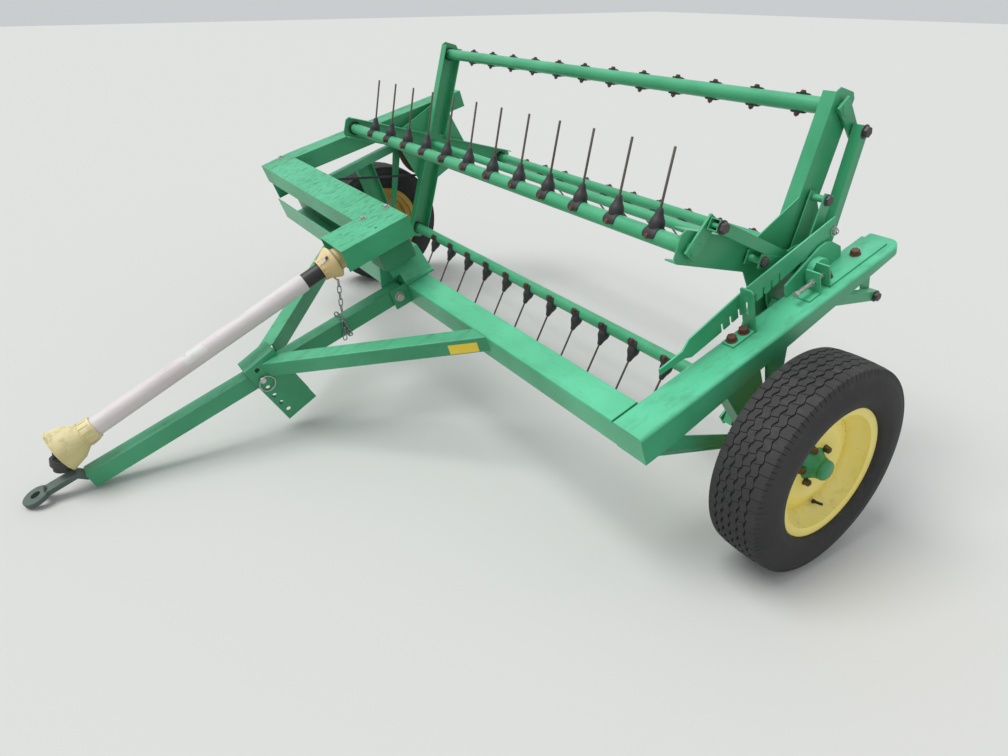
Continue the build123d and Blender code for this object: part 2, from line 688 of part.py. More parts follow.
def make_stay(k):
    """Short twin-plate stay on the gear's boss along one bar's direction, tied by a bushed bolt."""
    turn = bar_angle(k)
    half = STAY_WIDTH / 2
    spots = []
    end = STAY_REACH + STAY_OVERHANG
    for along, across in ((STAY_START, -half), (end, -half), (end, half), (STAY_START, half)):
        spots.append(arm_point(k, along, across))
    tip = polar(STAY_REACH, turn, REEL_A, REEL_B)
    stay = side_plate(spots, STAY_INNER_X, STAY_INNER_X + STAY_GAUGE)
    stay += side_plate(spots, STAY_OUTER_X, STAY_OUTER_X + STAY_GAUGE)
    stay += rod(STAY_INNER_X - MOVING, GEAR_END_X, tip[0], tip[1], STAY_BUSH)
    return stay


def make_reel_shaft():
    """Shaft through the reel, from the right-hand bearing to the left-hand one."""
    return rod(RAIL_INNER + 2, SIDE_INNER + BEARING_INSET + BEARING_GAUGE + HOUSING_BORE, REEL_A, REEL_B,
               REEL_SHAFT_RADIUS)


def make_sheave(radius, bore, a, b):
    """V-grooved pulley; a large one has a thin web between its rim and its hub."""
    w = SHEAVE_WIDTH / 2
    neck = radius - GROOVE_DEPTH
    groove = [(-w, radius), (-GROOVE_MOUTH, radius), (-GROOVE_FLOOR, neck), (GROOVE_FLOOR, neck),
              (GROOVE_MOUTH, radius), (w, radius)]
    profile = [(-w, bore)] + groove + [(w, bore)]
    if radius > 3 * bore + SHEAVE_WEB:
        hub = bore + SHEAVE_HUB
        under = neck - GROOVE_DEPTH
        far = w + SHEAVE_PROUD
        thin = SHEAVE_GAUGE / 2
        profile = [(-far, bore), (-far, hub), (-thin, hub), (-thin, under), (-w, under)] + groove + [
            (w, under), (thin, under), (thin, hub), (far, hub), (far, bore)]
    return Pos(BELT_X, a, b) * revolve(make_face(Polyline(*profile, close=True)), Axis.X)


def make_belt():
    """V-belt round both pulleys, from two tangent runs and two arcs."""
    big = DRIVEN_RADIUS - 1
    small = DRIVE_RADIUS - 1
    gap = hypot(REEL_A - SHAFT_A, REEL_B - SHAFT_B)
    heading = degrees(atan2(REEL_B - SHAFT_B, REEL_A - SHAFT_A))
    lean = degrees(acos((small - big) / gap))

    def loop(grow):
        up_small = polar(small + grow, heading + lean, SHAFT_A, SHAFT_B)
        up_big = polar(big + grow, heading + lean, REEL_A, REEL_B)
        low_small = polar(small + grow, heading - lean, SHAFT_A, SHAFT_B)
        low_big = polar(big + grow, heading - lean, REEL_A, REEL_B)
        back = polar(small + grow, heading + 180, SHAFT_A, SHAFT_B)
        far = polar(big + grow, heading, REEL_A, REEL_B)
        return make_face([Line(up_small, up_big), ThreePointArc(up_big, far, low_big), Line(low_big, low_small),
                          ThreePointArc(low_small, back, up_small)])

    seat = GROOVE_FLOOR + (GROOVE_MOUTH - GROOVE_FLOOR) * (GROOVE_DEPTH - BELT_DEPTH) / GROOVE_DEPTH
    half = seat - 1.2 * SPACE
    plane = Plane(origin=(BELT_X - half, 0, 0), x_dir=(0, 1, 0), z_dir=(1, 0, 0))
    return extrude(plane * (loop(0) - loop(-BELT_DEPTH + 1)), amount=2 * half)


def make_folded_cover(x0, x1, a0, a1, top, depth, gauge):
    """Sheet folded down along both long edges, running across the machine."""
    skin = block(x0, x1, a0, a1, top - depth, top)
    return skin - block(x0 - 1, x1 + 1, a0 + gauge, a1 - gauge, top - depth - 1, top - gauge)


def guard_top(a):
    """Height of the belt guard's top face, which falls to the rear behind the cross cover."""
    return COVER_TOP - tan(radians(GUARD_FALL)) * max(0, a - COVER_REAR)


def make_belt_guard():
    """Folded guard over the belt: level over the drive pulley, then falling to the rear."""
    g = COVER_GAUGE
    end = guard_top(GUARD_REAR)
    inner = guard_top(GUARD_REAR - g)
    outline = [(COVER_FRONT, COVER_TOP - COVER_DEPTH), (COVER_FRONT, COVER_TOP), (COVER_REAR, COVER_TOP),
               (GUARD_REAR, end), (GUARD_REAR, end - COVER_DEPTH), (COVER_REAR, COVER_TOP - COVER_DEPTH)]
    inside = [(COVER_FRONT + g, COVER_TOP - COVER_DEPTH - 1), (COVER_FRONT + g, COVER_TOP - g),
              (COVER_REAR, COVER_TOP - g), (GUARD_REAR - g, inner - g), (GUARD_REAR - g, inner - COVER_DEPTH - 1),
              (COVER_REAR, COVER_TOP - COVER_DEPTH - 1)]
    guard = side_plate(outline, GUARD_OUTER, GUARD_INNER) - side_plate(inside, GUARD_OUTER + g, GUARD_INNER - g)
    mouth = block(GUARD_INNER - g - 1, GUARD_INNER + 1, COVER_FRONT + g, COVER_REAR - g,
                  COVER_TOP - COVER_DEPTH - 1, COVER_TOP - g)
    return guard - mouth


def make_guard_stands():
    """Upright plate with the drive shaft's bearing, and the flat stay of the guard's rear end."""
    x0 = GUARD_OUTER + COVER_GAUGE
    x1 = x0 + STAND_GAUGE
    plate = block(x0, x1, CHANNEL_FRONT + 2 * CHANNEL_GAUGE, CHANNEL_REAR + 4 * CHANNEL_GAUGE, CHANNEL_TOP,
                  COVER_TOP - COVER_GAUGE)
    housing = rod(x1, BELT_X - SHEAVE_WIDTH / 2 - SHEAVE_PROUD, SHAFT_A, SHAFT_B, STAND_HOUSING)
    stand = plate + housing - rod(x1, 0, SHAFT_A, SHAFT_B, SHAFT_RADIUS + RUNNING)
    front = GUARD_REAR - STAY_INSET
    rear = front + STAY_BREADTH
    stay = side_plate([(front, RAIL_TOP), (rear, RAIL_TOP), (rear, guard_top(rear) - COVER_GAUGE),
                       (front, guard_top(front) - COVER_GAUGE)], x0, RAIL_OUTER + SIDE_GAUGE)
    return group([stand, stay])


def make_shaft_cover():
    """Long folded cover over the cross drive shaft."""
    return make_folded_cover(GUARD_INNER, COVER_LEFT, COVER_FRONT, COVER_REAR, COVER_TOP, COVER_DEPTH, COVER_GAUGE)


def make_gearbox_cover():
    """Folded cover over the gearbox and the driveline joint, open at the front."""
    skin = block(COVER_LEFT, 0, BOX_FRONT, COVER_REAR, COVER_TOP - COVER_DEPTH, COVER_TOP)
    skin -= block(COVER_LEFT + COVER_GAUGE, -COVER_GAUGE, BOX_FRONT - 1, COVER_REAR - COVER_GAUGE,
                  COVER_TOP - COVER_DEPTH - 1, COVER_TOP - COVER_GAUGE)
    skin -= block(COVER_LEFT - 1, COVER_LEFT + COVER_GAUGE + 1, COVER_FRONT + COVER_GAUGE,
                  COVER_REAR - COVER_GAUGE, COVER_TOP - COVER_DEPTH - 1, COVER_TOP - COVER_GAUGE)
    return skin


def make_gearbox():
    """Right-angle gearbox with its forked input shaft forward and the cross shaft's boss to the right."""
    half = GEARBOX_WIDTH / 2
    low = CHANNEL_TOP + MOUNT_GAUGE
    high = COVER_TOP - COVER_GAUGE
    lid = high - GEARBOX_LID
    body = block(GEARBOX_X - half, GEARBOX_X + half, GEARBOX_FRONT, GEARBOX_REAR, low, lid)
    body = fillet(body.edges().filter_by(Axis.Z), GEARBOX_CORNER)
    step = GEARBOX_CORNER + 2
    body += block(GEARBOX_X - half + step, GEARBOX_X + half - step, GEARBOX_FRONT + step, GEARBOX_REAR - step,
                  lid, high)
    fork_back = INPUT_BOSS_FRONT + INPUT_BOSS_LENGTH
    for start, end, radius in ((GEARBOX_FRONT, fork_back, SHAFT_RADIUS + 3),
                               (GEARBOX_FRONT, GEARBOX_FRONT - SEAL_LENGTH, SEAL_RADIUS),
                               (fork_back, INPUT_BOSS_FRONT, INPUT_BOSS_RADIUS)):
        body += Pos(GEARBOX_X, (start + end) / 2, JOINT_B) * Rot(90, 0, 0) * Cylinder(radius, start - end)
    for side in (-1, 1):
        inner = GEARBOX_X + side * FORK_GAP
        outer = inner + side * FORK_GAUGE
        body += block(inner, outer, JOINT_A - FORK_HALF, INPUT_BOSS_FRONT + 2, JOINT_B - FORK_HALF, JOINT_B + FORK_HALF)
        body -= rod(min(inner, outer) - 1, max(inner, outer) + 1, JOINT_A, JOINT_B, TRUNNION_RADIUS + RUNNING)
    end = GEARBOX_X - half
    return body - rod(end - 1, end + SHAFT_SEAT, SHAFT_A, SHAFT_B, SHAFT_RADIUS + RUNNING)


def make_gearbox_mount():
    """Bent plate from the front beam's end up to the channel, under the gearbox."""
    g = MOUNT_GAUGE
    points = [(-30, 0), (-54, 0), (-118, CHANNEL_TOP), (-200, CHANNEL_TOP), (-200, CHANNEL_TOP + g),
              (-114, CHANNEL_TOP + g), (-50, g), (-30, g)]
    face = make_face(Polyline(*[(x, -30, b) for x, b in points], close=True))
    return extrude(face, amount=160, dir=(0, 1, 0)) - block(-78, -20, -31, 0, -1, 60)


def make_drive_shaft():
    """Cross shaft from the gearbox to the belt's drive pulley, with a coupling sleeve beside the box."""
    x0 = GUARD_OUTER + COVER_GAUGE + STAND_GAUGE + MOVING
    shaft = rod(x0, GEARBOX_X - GEARBOX_WIDTH / 2 + SHAFT_SEAT - MOVING, SHAFT_A, SHAFT_B, SHAFT_RADIUS)
    return shaft + rod(COVER_LEFT - 60, COVER_LEFT - 10, SHAFT_A, SHAFT_B, SHAFT_RADIUS + 9)


def drawbar_point(along, lift):
    """Point of the drawbar, from its pivot forwards and up from its middle line."""
    return (DRAWBAR_PIVOT_A - along * cos(droop) - lift * sin(droop),
            DRAWBAR_PIVOT_B - along * sin(droop) + lift * cos(droop))


def drawbar_span(start, end, low, high, x0, x1):
    """Plate or block laid along the drawbar."""
    spots = [drawbar_point(start, low), drawbar_point(end, low), drawbar_point(end, high), drawbar_point(start, high)]
    return side_plate(spots, x0, x1)


def make_drawbar():
    """Square-tube drawbar with its pivot hole and the height pin's hole."""
    half = DRAWBAR_SIZE / 2
    slim = half - DRAWBAR_WALL
    bar = drawbar_span(-DRAWBAR_TAIL, DRAWBAR_LENGTH, -half, half, DRAWBAR_X - half, DRAWBAR_X + half)
    bar -= drawbar_span(-DRAWBAR_TAIL - 1, DRAWBAR_LENGTH + 1, -slim, slim, DRAWBAR_X - slim, DRAWBAR_X + slim)
    for along, radius in ((0, PIVOT_RADIUS), (HOLE_CIRCLE, HOLE_RADIUS)):
        a, b = drawbar_point(along, 0)
        bar -= rod(DRAWBAR_X - DRAWBAR_SIZE, DRAWBAR_X + DRAWBAR_SIZE, a, b, radius + SPACE)
    return bar


def make_eye():
    """Hitch eye: a ring on a flat bar that lies along the top of the drawbar."""
    half = DRAWBAR_SIZE / 2
    width = EYE_BAR_WIDTH / 2
    bar = drawbar_span(DRAWBAR_LENGTH - 170, EYE_REACH, half, half + EYE_GAUGE, DRAWBAR_X - width, DRAWBAR_X + width)
    a, b = drawbar_point(EYE_REACH, half + EYE_GAUGE / 2)
    place = Pos(DRAWBAR_X, a, b) * Rot(DRAWBAR_DROOP, 0, 0)
    return bar + place * Cylinder(EYE_RADIUS, EYE_GAUGE) - place * Cylinder(EYE_BORE, 2 * EYE_GAUGE)


def make_lug():
    """Lug on the beam's front face with the drawbar's pivot bolt, which reaches the channel's end."""
    near = DRAWBAR_X + DRAWBAR_SIZE / 2 + MOVING
    lug = side_plate([(0, -LUG_DROP), (-LUG_REACH, -LUG_DROP), (-LUG_REACH, LUG_TOP), (0, LUG_TOP)],
                     near, near + LUG_GAUGE)
    head = near + LUG_GAUGE + PIVOT_RADIUS
    return lug + rod(BEAM_RIGHT - LUG_GAUGE, head, DRAWBAR_PIVOT_A, DRAWBAR_PIVOT_B, PIVOT_RADIUS)


def plate_point(out, up):
    """Point of the height plates: outwards from the drawbar's pivot and up along their long side."""
    tilt = radians(PLATE_TILT)
    return (DRAWBAR_PIVOT_A - out * cos(tilt) - up * sin(tilt), DRAWBAR_PIVOT_B - out * sin(tilt) + up * cos(tilt))


def make_height_plates():
    """Two plates with an arc of holes, which straddle the drawbar under a flat cap."""
    half = DRAWBAR_SIZE / 2
    front = PLATE_NEAR_END + PLATE_WIDTH
    low = PLATE_RISE - PLATE_LENGTH
    corners = [plate_point(PLATE_NEAR_END, low), plate_point(front, low), plate_point(front, PLATE_RISE),
               plate_point(PLATE_NEAR_END, PLATE_RISE)]
    pair = []
    for x0 in (DRAWBAR_X + half + MOVING, DRAWBAR_X - half - MOVING - LUG_GAUGE):
        plate = side_plate(corners, x0, x0 + LUG_GAUGE)
        for k in range(HOLE_COUNT):
            below = radians(DRAWBAR_DROOP + HOLE_STEP * (k - PINNED_HOLE))
            a = DRAWBAR_PIVOT_A - HOLE_CIRCLE * cos(below)
            b = DRAWBAR_PIVOT_B - HOLE_CIRCLE * sin(below)
            plate -= rod(x0 - 1, x0 + LUG_GAUGE + 1, a, b, HOLE_RADIUS)
        pair.append(plate)
    cap = side_plate([plate_point(PLATE_NEAR_END, PLATE_RISE), plate_point(front, PLATE_RISE),
                      plate_point(front, PLATE_RISE + LUG_GAUGE),
                      plate_point(PLATE_NEAR_END, PLATE_RISE + LUG_GAUGE)],
                     DRAWBAR_X - half - MOVING - LUG_GAUGE, DRAWBAR_X + half + MOVING + LUG_GAUGE)
    return pair[0] + pair[1] + cap


def make_height_pin():
    """Pin through the height plates and the drawbar, with its head and a spring ring."""
    half = DRAWBAR_SIZE / 2 + MOVING + LUG_GAUGE
    a, b = drawbar_point(HOLE_CIRCLE, 0)
    pin = rod(DRAWBAR_X - half - 2 * PIN_RADIUS, DRAWBAR_X + half + PIN_TAIL, a, b, HOLE_RADIUS)
    spot = (DRAWBAR_X + half + PIN_TAIL - 6, a - RING_RADIUS / 2, b - RING_RADIUS + 4)
    ring = prism(spot, RING_RADIUS, 16, RING_WIRE) - prism(spot, RING_RADIUS - RING_WIRE, 16, RING_WIRE)
    return pin + ring


def make_left_brace():
    """Square-tube brace from the front beam forward to the left height plate."""
    x_end = DRAWBAR_X + DRAWBAR_SIZE / 2 + MOVING + LUG_GAUGE
    start = (BRACE_LEFT_X, 40, -BRACE_SIZE / 2)
    end = (x_end - 60, BRACE_APEX - 60, BRACE_RISE - BRACE_SIZE / 2)
    tube = section_along(square_section(BRACE_SIZE, BRACE_WALL), start, end)
    tube -= block(BRACE_LEFT_X - 200, BRACE_LEFT_X + 200, 0, 200, -200, 200)
    return tube - block(x_end - 300, x_end, -1100, 0, -200, 200)


def make_right_brace():
    """Channel brace from the cross channel forward to the right height plate, open to the rear."""
    x_end = DRAWBAR_X - DRAWBAR_SIZE / 2 - MOVING - LUG_GAUGE
    start = (BRACE_RIGHT_X, CHANNEL_FRONT + 40, 0)
    end = (x_end + 60, BRACE_APEX - 60, BRACE_RISE - BRACE_SIZE / 2)
    section = Rectangle(BRACE_SIZE, BRACE_SIZE) - Pos(BRACE_WALL, 0) * Rectangle(BRACE_SIZE, BRACE_SIZE - 2 * BRACE_WALL)
    brace = section_along(section, start, end)
    brace -= block(BRACE_RIGHT_X - 300, BRACE_RIGHT_X + 300, CHANNEL_FRONT, 300, -200, 200)
    return brace - block(x_end, x_end + 300, -1100, 0, -200, 200)


def make_left_bearing():
    """Upright bearing plate with a round top on its sliding foot, bored for the reel shaft."""
    x0 = SIDE_INNER + BEARING_INSET
    x1 = x0 + BEARING_GAUGE
    disc = rod(x0, x1, REEL_A, REEL_B, BEARING_RADIUS) + rod(x1, x1 + HOUSING_DEPTH, REEL_A, REEL_B, HOUSING_RADIUS)
    reach = 2 * BEARING_RADIUS
    disc -= block(x0 - 1, x0 + SIDE_WIDTH, REEL_A - reach, REEL_A + reach, -reach, SIDE_GAUGE)
    foot_x0 = SIDE_INNER + 2
    foot_x1 = foot_x0 + FOOT_WIDTH
    front = REEL_A - FOOT_LEAD
    foot = block(foot_x0, foot_x1, front, REEL_A + FOOT_TAIL, 0, SIDE_GAUGE)
    lip = block(x1 + HOUSING_DEPTH, foot_x1, front, front + SIDE_GAUGE, 0, LIP_HEIGHT)
    return disc + foot + lip - rod(x0 - 1, x1 + HOUSING_BORE, REEL_A, REEL_B, REEL_SHAFT_RADIUS + RUNNING)


def make_adjuster():
    """Belt-tension adjuster: an angle lug on the side beam and the bolt that pushes the foot's lip."""
    foot_x1 = SIDE_INNER + 2 + FOOT_WIDTH
    x0 = foot_x1 - LUG_BREADTH
    lip_a = REEL_A - FOOT_LEAD
    lug_a = lip_a - LUG_LEAD
    lug = block(x0, foot_x1, lug_a, lug_a + SIDE_GAUGE, 0, LIP_HEIGHT)
    lug += block(x0, foot_x1, lug_a - LUG_BREADTH, lug_a, 0, SIDE_GAUGE)
    middle = (x0 + foot_x1) / 2
    height = LIP_HEIGHT / 2
    tail_a = lug_a - LUG_TAIL
    for start, end, radius in ((lip_a, tail_a, ADJUSTER_RADIUS), (tail_a, tail_a - 8, 2 * ADJUSTER_RADIUS),
                               (lug_a, lug_a - 10, 2 * ADJUSTER_RADIUS)):
        bolt = Plane(origin=(middle, start, height), z_dir=(0, -1, 0)) * RegularPolygon(radius, 6)
        lug += extrude(bolt, amount=start - end)
    return lug


def make_lever():
    """Notched lever that sets the tines' pitch, pivoted at its rear end."""
    x0 = SIDE_INNER + 1
    blade = [(LEVER_FRONT, 38), (284, 36), (315, 22), (446, 34), (695, 62), (LEVER_REAR, 100),
             (LEVER_REAR, 151), (560, 122), (315, 88), (284, 64), (LEVER_FRONT, 58)]
    lever = side_plate(blade, x0, x0 + LEVER_GAUGE)
    for k in range(NOTCH_COUNT):
        a = NOTCH_START + NOTCH_PITCH * k
        low = 20 + (a - 315) * 0.118
        lever -= block(x0 - 1, x0 + LEVER_GAUGE + 1, a - 5, a + 5, low - 10, low + NOTCH_DEPTH)
    pivot = LEVER_REAR - 14
    return lever + rod(x0, x0 + BEARING_INSET - 1, pivot, 106, 12)


def make_lever_bracket():
    """Slotted angle on the side beam that the lever slides through."""
    x0 = SIDE_INNER + BEARING_INSET + 1
    x1 = x0 + BRACKET_WIDTH
    rear = BRACKET_A + SIDE_GAUGE
    upright = block(x0, x1, BRACKET_A, rear, 0, BRACKET_HEIGHT)
    slot = x0 + 18
    upright -= block(slot, slot + 12, BRACKET_A - 1, rear + 1, BRACKET_HEIGHT / 3, BRACKET_HEIGHT - 30)
    return upright + block(x0, x1 - 10, BRACKET_A - 92, rear, 0, SIDE_GAUGE)


def make_right_bearing():
    """Flange bearing plate on the right-hand rail, bored for the reel shaft."""
    wide = 2 * HOUSING_RADIUS
    narrow = HOUSING_RADIUS
    x1 = RAIL_INNER + BEARING_GAUGE
    plate = side_plate([(REEL_A - wide, RAIL_TOP), (REEL_A - wide, REEL_B - 6), (REEL_A - narrow, REEL_B - 76),
                        (REEL_A + narrow, REEL_B - 76), (REEL_A + wide, REEL_B - 6), (REEL_A + wide, RAIL_TOP)],
                       RAIL_INNER, x1)
    plate += rod(x1, x1 + 18, REEL_A, REEL_B, HOUSING_RADIUS - 2)
    return plate - rod(RAIL_INNER - 1, x1 + 20, REEL_A, REEL_B, REEL_SHAFT_RADIUS + RUNNING)


def driveline(shape):
    """Place a shape drawn along its own +Z, from the rear joint forwards and down."""
    return Pos(GEARBOX_X, JOINT_A, JOINT_B) * Rot(90 + DRIVELINE_DROOP, 0, 0) * shape


def turned(points):
    """Solid of revolution about the driveline's middle line, from (distance, radius) points."""
    face = make_face(Polyline(*[(radius, 0, along) for along, radius in points], close=True))
    return revolve(face, Axis.Z)


def make_rear_shield():
    """Rear shield cone: a sleeve, a swollen ring, a taper down onto the inner tube and the chain's peg."""
    t = TUBE_GAUGE
    ring = CONE_START + 10
    peg = chain_peg()
    pin = rod(GEARBOX_X + PEG_ROOT, peg[0] + CHAIN_WIRE, peg[1], peg[2], PEG_RADIUS)
    return pin + driveline(turned([(-30, 42), (18, 44), (CONE_START, CONE_RADIUS), (ring, CONE_RADIUS), (CONE_END, 44),
                             (CONE_END + 12, 40), (CONE_END + 12, INNER_TUBE_RADIUS), (CONE_END - t, INNER_TUBE_RADIUS),
                             (ring - 2, CONE_RADIUS - t), (CONE_START + 2, CONE_RADIUS - t), (20, 40), (-30, 38)]))


def make_inner_tube():
    """Inner telescopic tube of the driveline."""
    r = INNER_TUBE_RADIUS
    return driveline(turned([(66, r), (520, r), (520, r - TUBE_GAUGE), (66, r - TUBE_GAUGE)]))


def make_cross_joint():
    """Rear universal joint: its cross in the gearbox's fork, and the yoke that drives the inner tube."""
    cross = Rot(0, 90, 0) * Cylinder(TRUNNION_RADIUS, 2 * (FORK_GAP + FORK_GAUGE))
    cross += Rot(90, 0, 0) * Cylinder(TRUNNION_RADIUS, 2 * FORK_GAP + 4)
    for side in (-1, 1):
        cross += Pos(0, side * (FORK_GAP + FORK_GAUGE / 2), 22) * Box(2 * FORK_HALF - 4, FORK_GAUGE, 68)
    return driveline(cross + turned([(44, 0), (44, 28), (66, 28), (66, 0)]))


def make_outer_tube():
    """Outer telescopic tube of the driveline."""
    r = OUTER_TUBE_RADIUS
    return driveline(turned([(OUTER_TUBE_START, r), (OUTER_TUBE_END, r), (OUTER_TUBE_END, r - TUBE_GAUGE),
                             (OUTER_TUBE_START, r - TUBE_GAUGE)]))


def make_front_shield():
    """Front shield cone: a narrow sleeve on the outer tube that opens to a wide mouth."""
    t = TUBE_GAUGE
    r = OUTER_TUBE_RADIUS
    start = OUTER_TUBE_END - 20
    throat = OUTER_TUBE_END + 28
    bell = OUTER_TUBE_END + 66
    return driveline(turned([(start, r), (start, r + 6), (throat, r + 8), (bell, FRONT_CONE_RADIUS - 12),
                             (FRONT_CONE_END, FRONT_CONE_RADIUS), (FRONT_CONE_END, FRONT_CONE_RADIUS - t),
                             (bell + 2, FRONT_CONE_RADIUS - 16), (throat + 2, r + t), (OUTER_TUBE_END + 20, r)]))


def make_front_fork():
    """Fork on the outer tube's end, inside the front cone, that holds the front joint's cross."""
    end = OUTER_TUBE_END
    plate = end + 47
    fork = turned([(end, 0), (end, OUTER_TUBE_RADIUS - SPACE), (end + 12, OUTER_TUBE_RADIUS - SPACE),
                   (end + 12, 24), (plate + 1, 24), (plate + 1, 0)])
    inner = FORK_GAP + 10
    wide = 2 * (inner + FORK_GAUGE)
    fork += Pos(0, 0, plate + 5) * Box(wide, 2 * FORK_HALF, 10)
    length = YOKE_PIVOT + FORK_HALF - plate - 3
    for side in (-1, 1):
        fork += Pos(side * (inner + FORK_GAUGE / 2), 0, plate + 3 + length / 2) * Box(FORK_GAUGE, 2 * FORK_HALF, length)
    return driveline(fork - Pos(0, 0, YOKE_PIVOT) * Rot(0, 90, 0) * Cylinder(TRUNNION_RADIUS + RUNNING, wide + 2))


def make_front_yoke():
    """Front yoke with its quick-release collar and the cross it swings on, hanging from the fork."""
    yoke = turned([(YOKE_NECK, YOKE_BORE), (YOKE_NECK, YOKE_RADIUS), (COLLAR_START, YOKE_RADIUS),
                   (COLLAR_START, COLLAR_RADIUS), (COLLAR_END, COLLAR_RADIUS), (COLLAR_END, COLLAR_RADIUS - 7),
                   (YOKE_END, COLLAR_RADIUS - 9), (YOKE_END, YOKE_BORE)])
    arms = group([Pos(0, side * 23, 8) * Box(26, FORK_GAUGE, 40) for side in (-1, 1)])
    cross = Rot(0, 90, 0) * Cylinder(TRUNNION_RADIUS, 2 * (FORK_GAP + FORK_GAUGE + 10))
    cross += Rot(90, 0, 0) * Cylinder(TRUNNION_RADIUS, 46)
    hang = Pos(0, 0, YOKE_PIVOT) * Rot(YOKE_DROOP, 0, 0)
    return driveline(hang * (yoke + arms + cross))


def chain_joints(start, end, count):
    """Joints between the links of a straight stretch of chain."""
    run = Vector(*end) - Vector(*start)
    step = run.normalized() * CHAIN_PITCH
    return [Vector(*start) + step * n for n in range(count + 1)]


def string_links(joints, first=0):
    """Welded links between a row of joints, each turned a quarter from the one before, as one solid."""
    w = CHAIN_WIDTH / 2
    end = CHAIN_PITCH / 2 + CHAIN_WIRE - SPACE
    wire = CHAIN_WIRE
    outer = [(w, end - w), (w / 2, end), (-w / 2, end), (-w, end - w)]
    inner = [(w - wire, end - w - 1), (w / 2 - 2, end - wire), (2 - w / 2, end - wire), (wire - w, end - w - 1)]
    ring = [make_face(Polyline(*half, *[(-x, -y) for x, y in half], close=True)) for half in (outer, inner)]
    chain = None
    for n, (start, stop) in enumerate(zip(joints, joints[1:])):
        run = (stop - start).normalized()
        side = Vector(1, 0, 0).cross(run)
        side = side.normalized() if side.length > 0.2 else Vector(0, 1, 0).cross(run).normalized()
        if (n + first) % 2:
            side = run.cross(side)
        plane = Plane(origin=(start + stop) * 0.5, x_dir=side, z_dir=side.cross(run))
        link = extrude(plane * (ring[0] - ring[1]), amount=CHAIN_WIRE / 2, both=True)
        chain = link if chain is None else chain + link
    return chain


def plumb(start, drop):
    """Point straight below another one, once the machine is parked."""
    turn = radians(NOSE_DOWN)
    return (start[0], start[1] - drop * sin(turn), start[2] - drop * cos(turn))


def chain_peg():
    """Peg low on the near side of the rear cone that the shield chain hangs from: (x, a, b)."""
    turn = radians(DRIVELINE_DROOP)
    low = CONE_RADIUS - CHAIN_WIRE - 3
    return (GEARBOX_X + CHAIN_SIDE, JOINT_A - CHAIN_ALONG * cos(turn) - low * sin(turn),
            JOINT_B - CHAIN_ALONG * sin(turn) - low * cos(turn))


def make_hanging_chain():
    """The part of the shield chain that hangs from the rear cone's peg."""
    peg = chain_peg()
    top = plumb(peg, -(PEG_RADIUS + SPACE))
    return string_links(chain_joints(top, plumb(peg, 100), CHAIN_COUNT))


def make_chain_turn():
    """The turn of the shield chain round the drawbar, with its loose end on the left face."""
    reach = DRAWBAR_SIZE / 2
    room = CHAIN_WIDTH / 2 + SPACE
    slack = MOVING
    side = reach + room + slack
    top = reach + room
    low = -top - 2 * slack
    corner = [(0, top), (side, top + slack), (side, low), (-side, low), (-side, top + slack), (0, top)]
    joints = []
    for first, last in zip(corner, corner[1:]):
        for step in range(100):
            x = first[0] + (last[0] - first[0]) * step / 100
            rise = first[1] + (last[1] - first[1]) * step / 100
            spot = Vector(DRAWBAR_X + x, *drawbar_point(CHAIN_TURN, rise))
            if not joints or (spot - joints[-1]).length >= CHAIN_PITCH:
                joints.append(spot)
    hook = (DRAWBAR_X + side, *drawbar_point(CHAIN_TURN + 3, reach))
    bend = (DRAWBAR_X + side, *drawbar_point(CHAIN_TURN + 3 + CHAIN_PITCH * 0.8, reach - CHAIN_PITCH * 0.6))
    tail = [Vector(*hook)] + chain_joints(bend, plumb(bend, 100), CHAIN_TAIL)
    reach += SPACE
    tube = drawbar_span(CHAIN_TURN - 100, CHAIN_TURN + 200, -reach, reach, DRAWBAR_X - reach, DRAWBAR_X + reach)
    return string_links(joints) + string_links(tail, 1) - tube


def make_wheel(word):
    """Tyre, rim and hub of one wheel, turned so that the hub cap faces outwards."""
    place = Pos(WHEEL_X[word], AXLE_A, AXLE_B) * Rot(0, 0, 0 if word == "left" else 180)
    return {"tyre_" + word: place * make_tyre(), "rim_" + word: place * make_rim(), "hub_" + word: place * make_hub()}


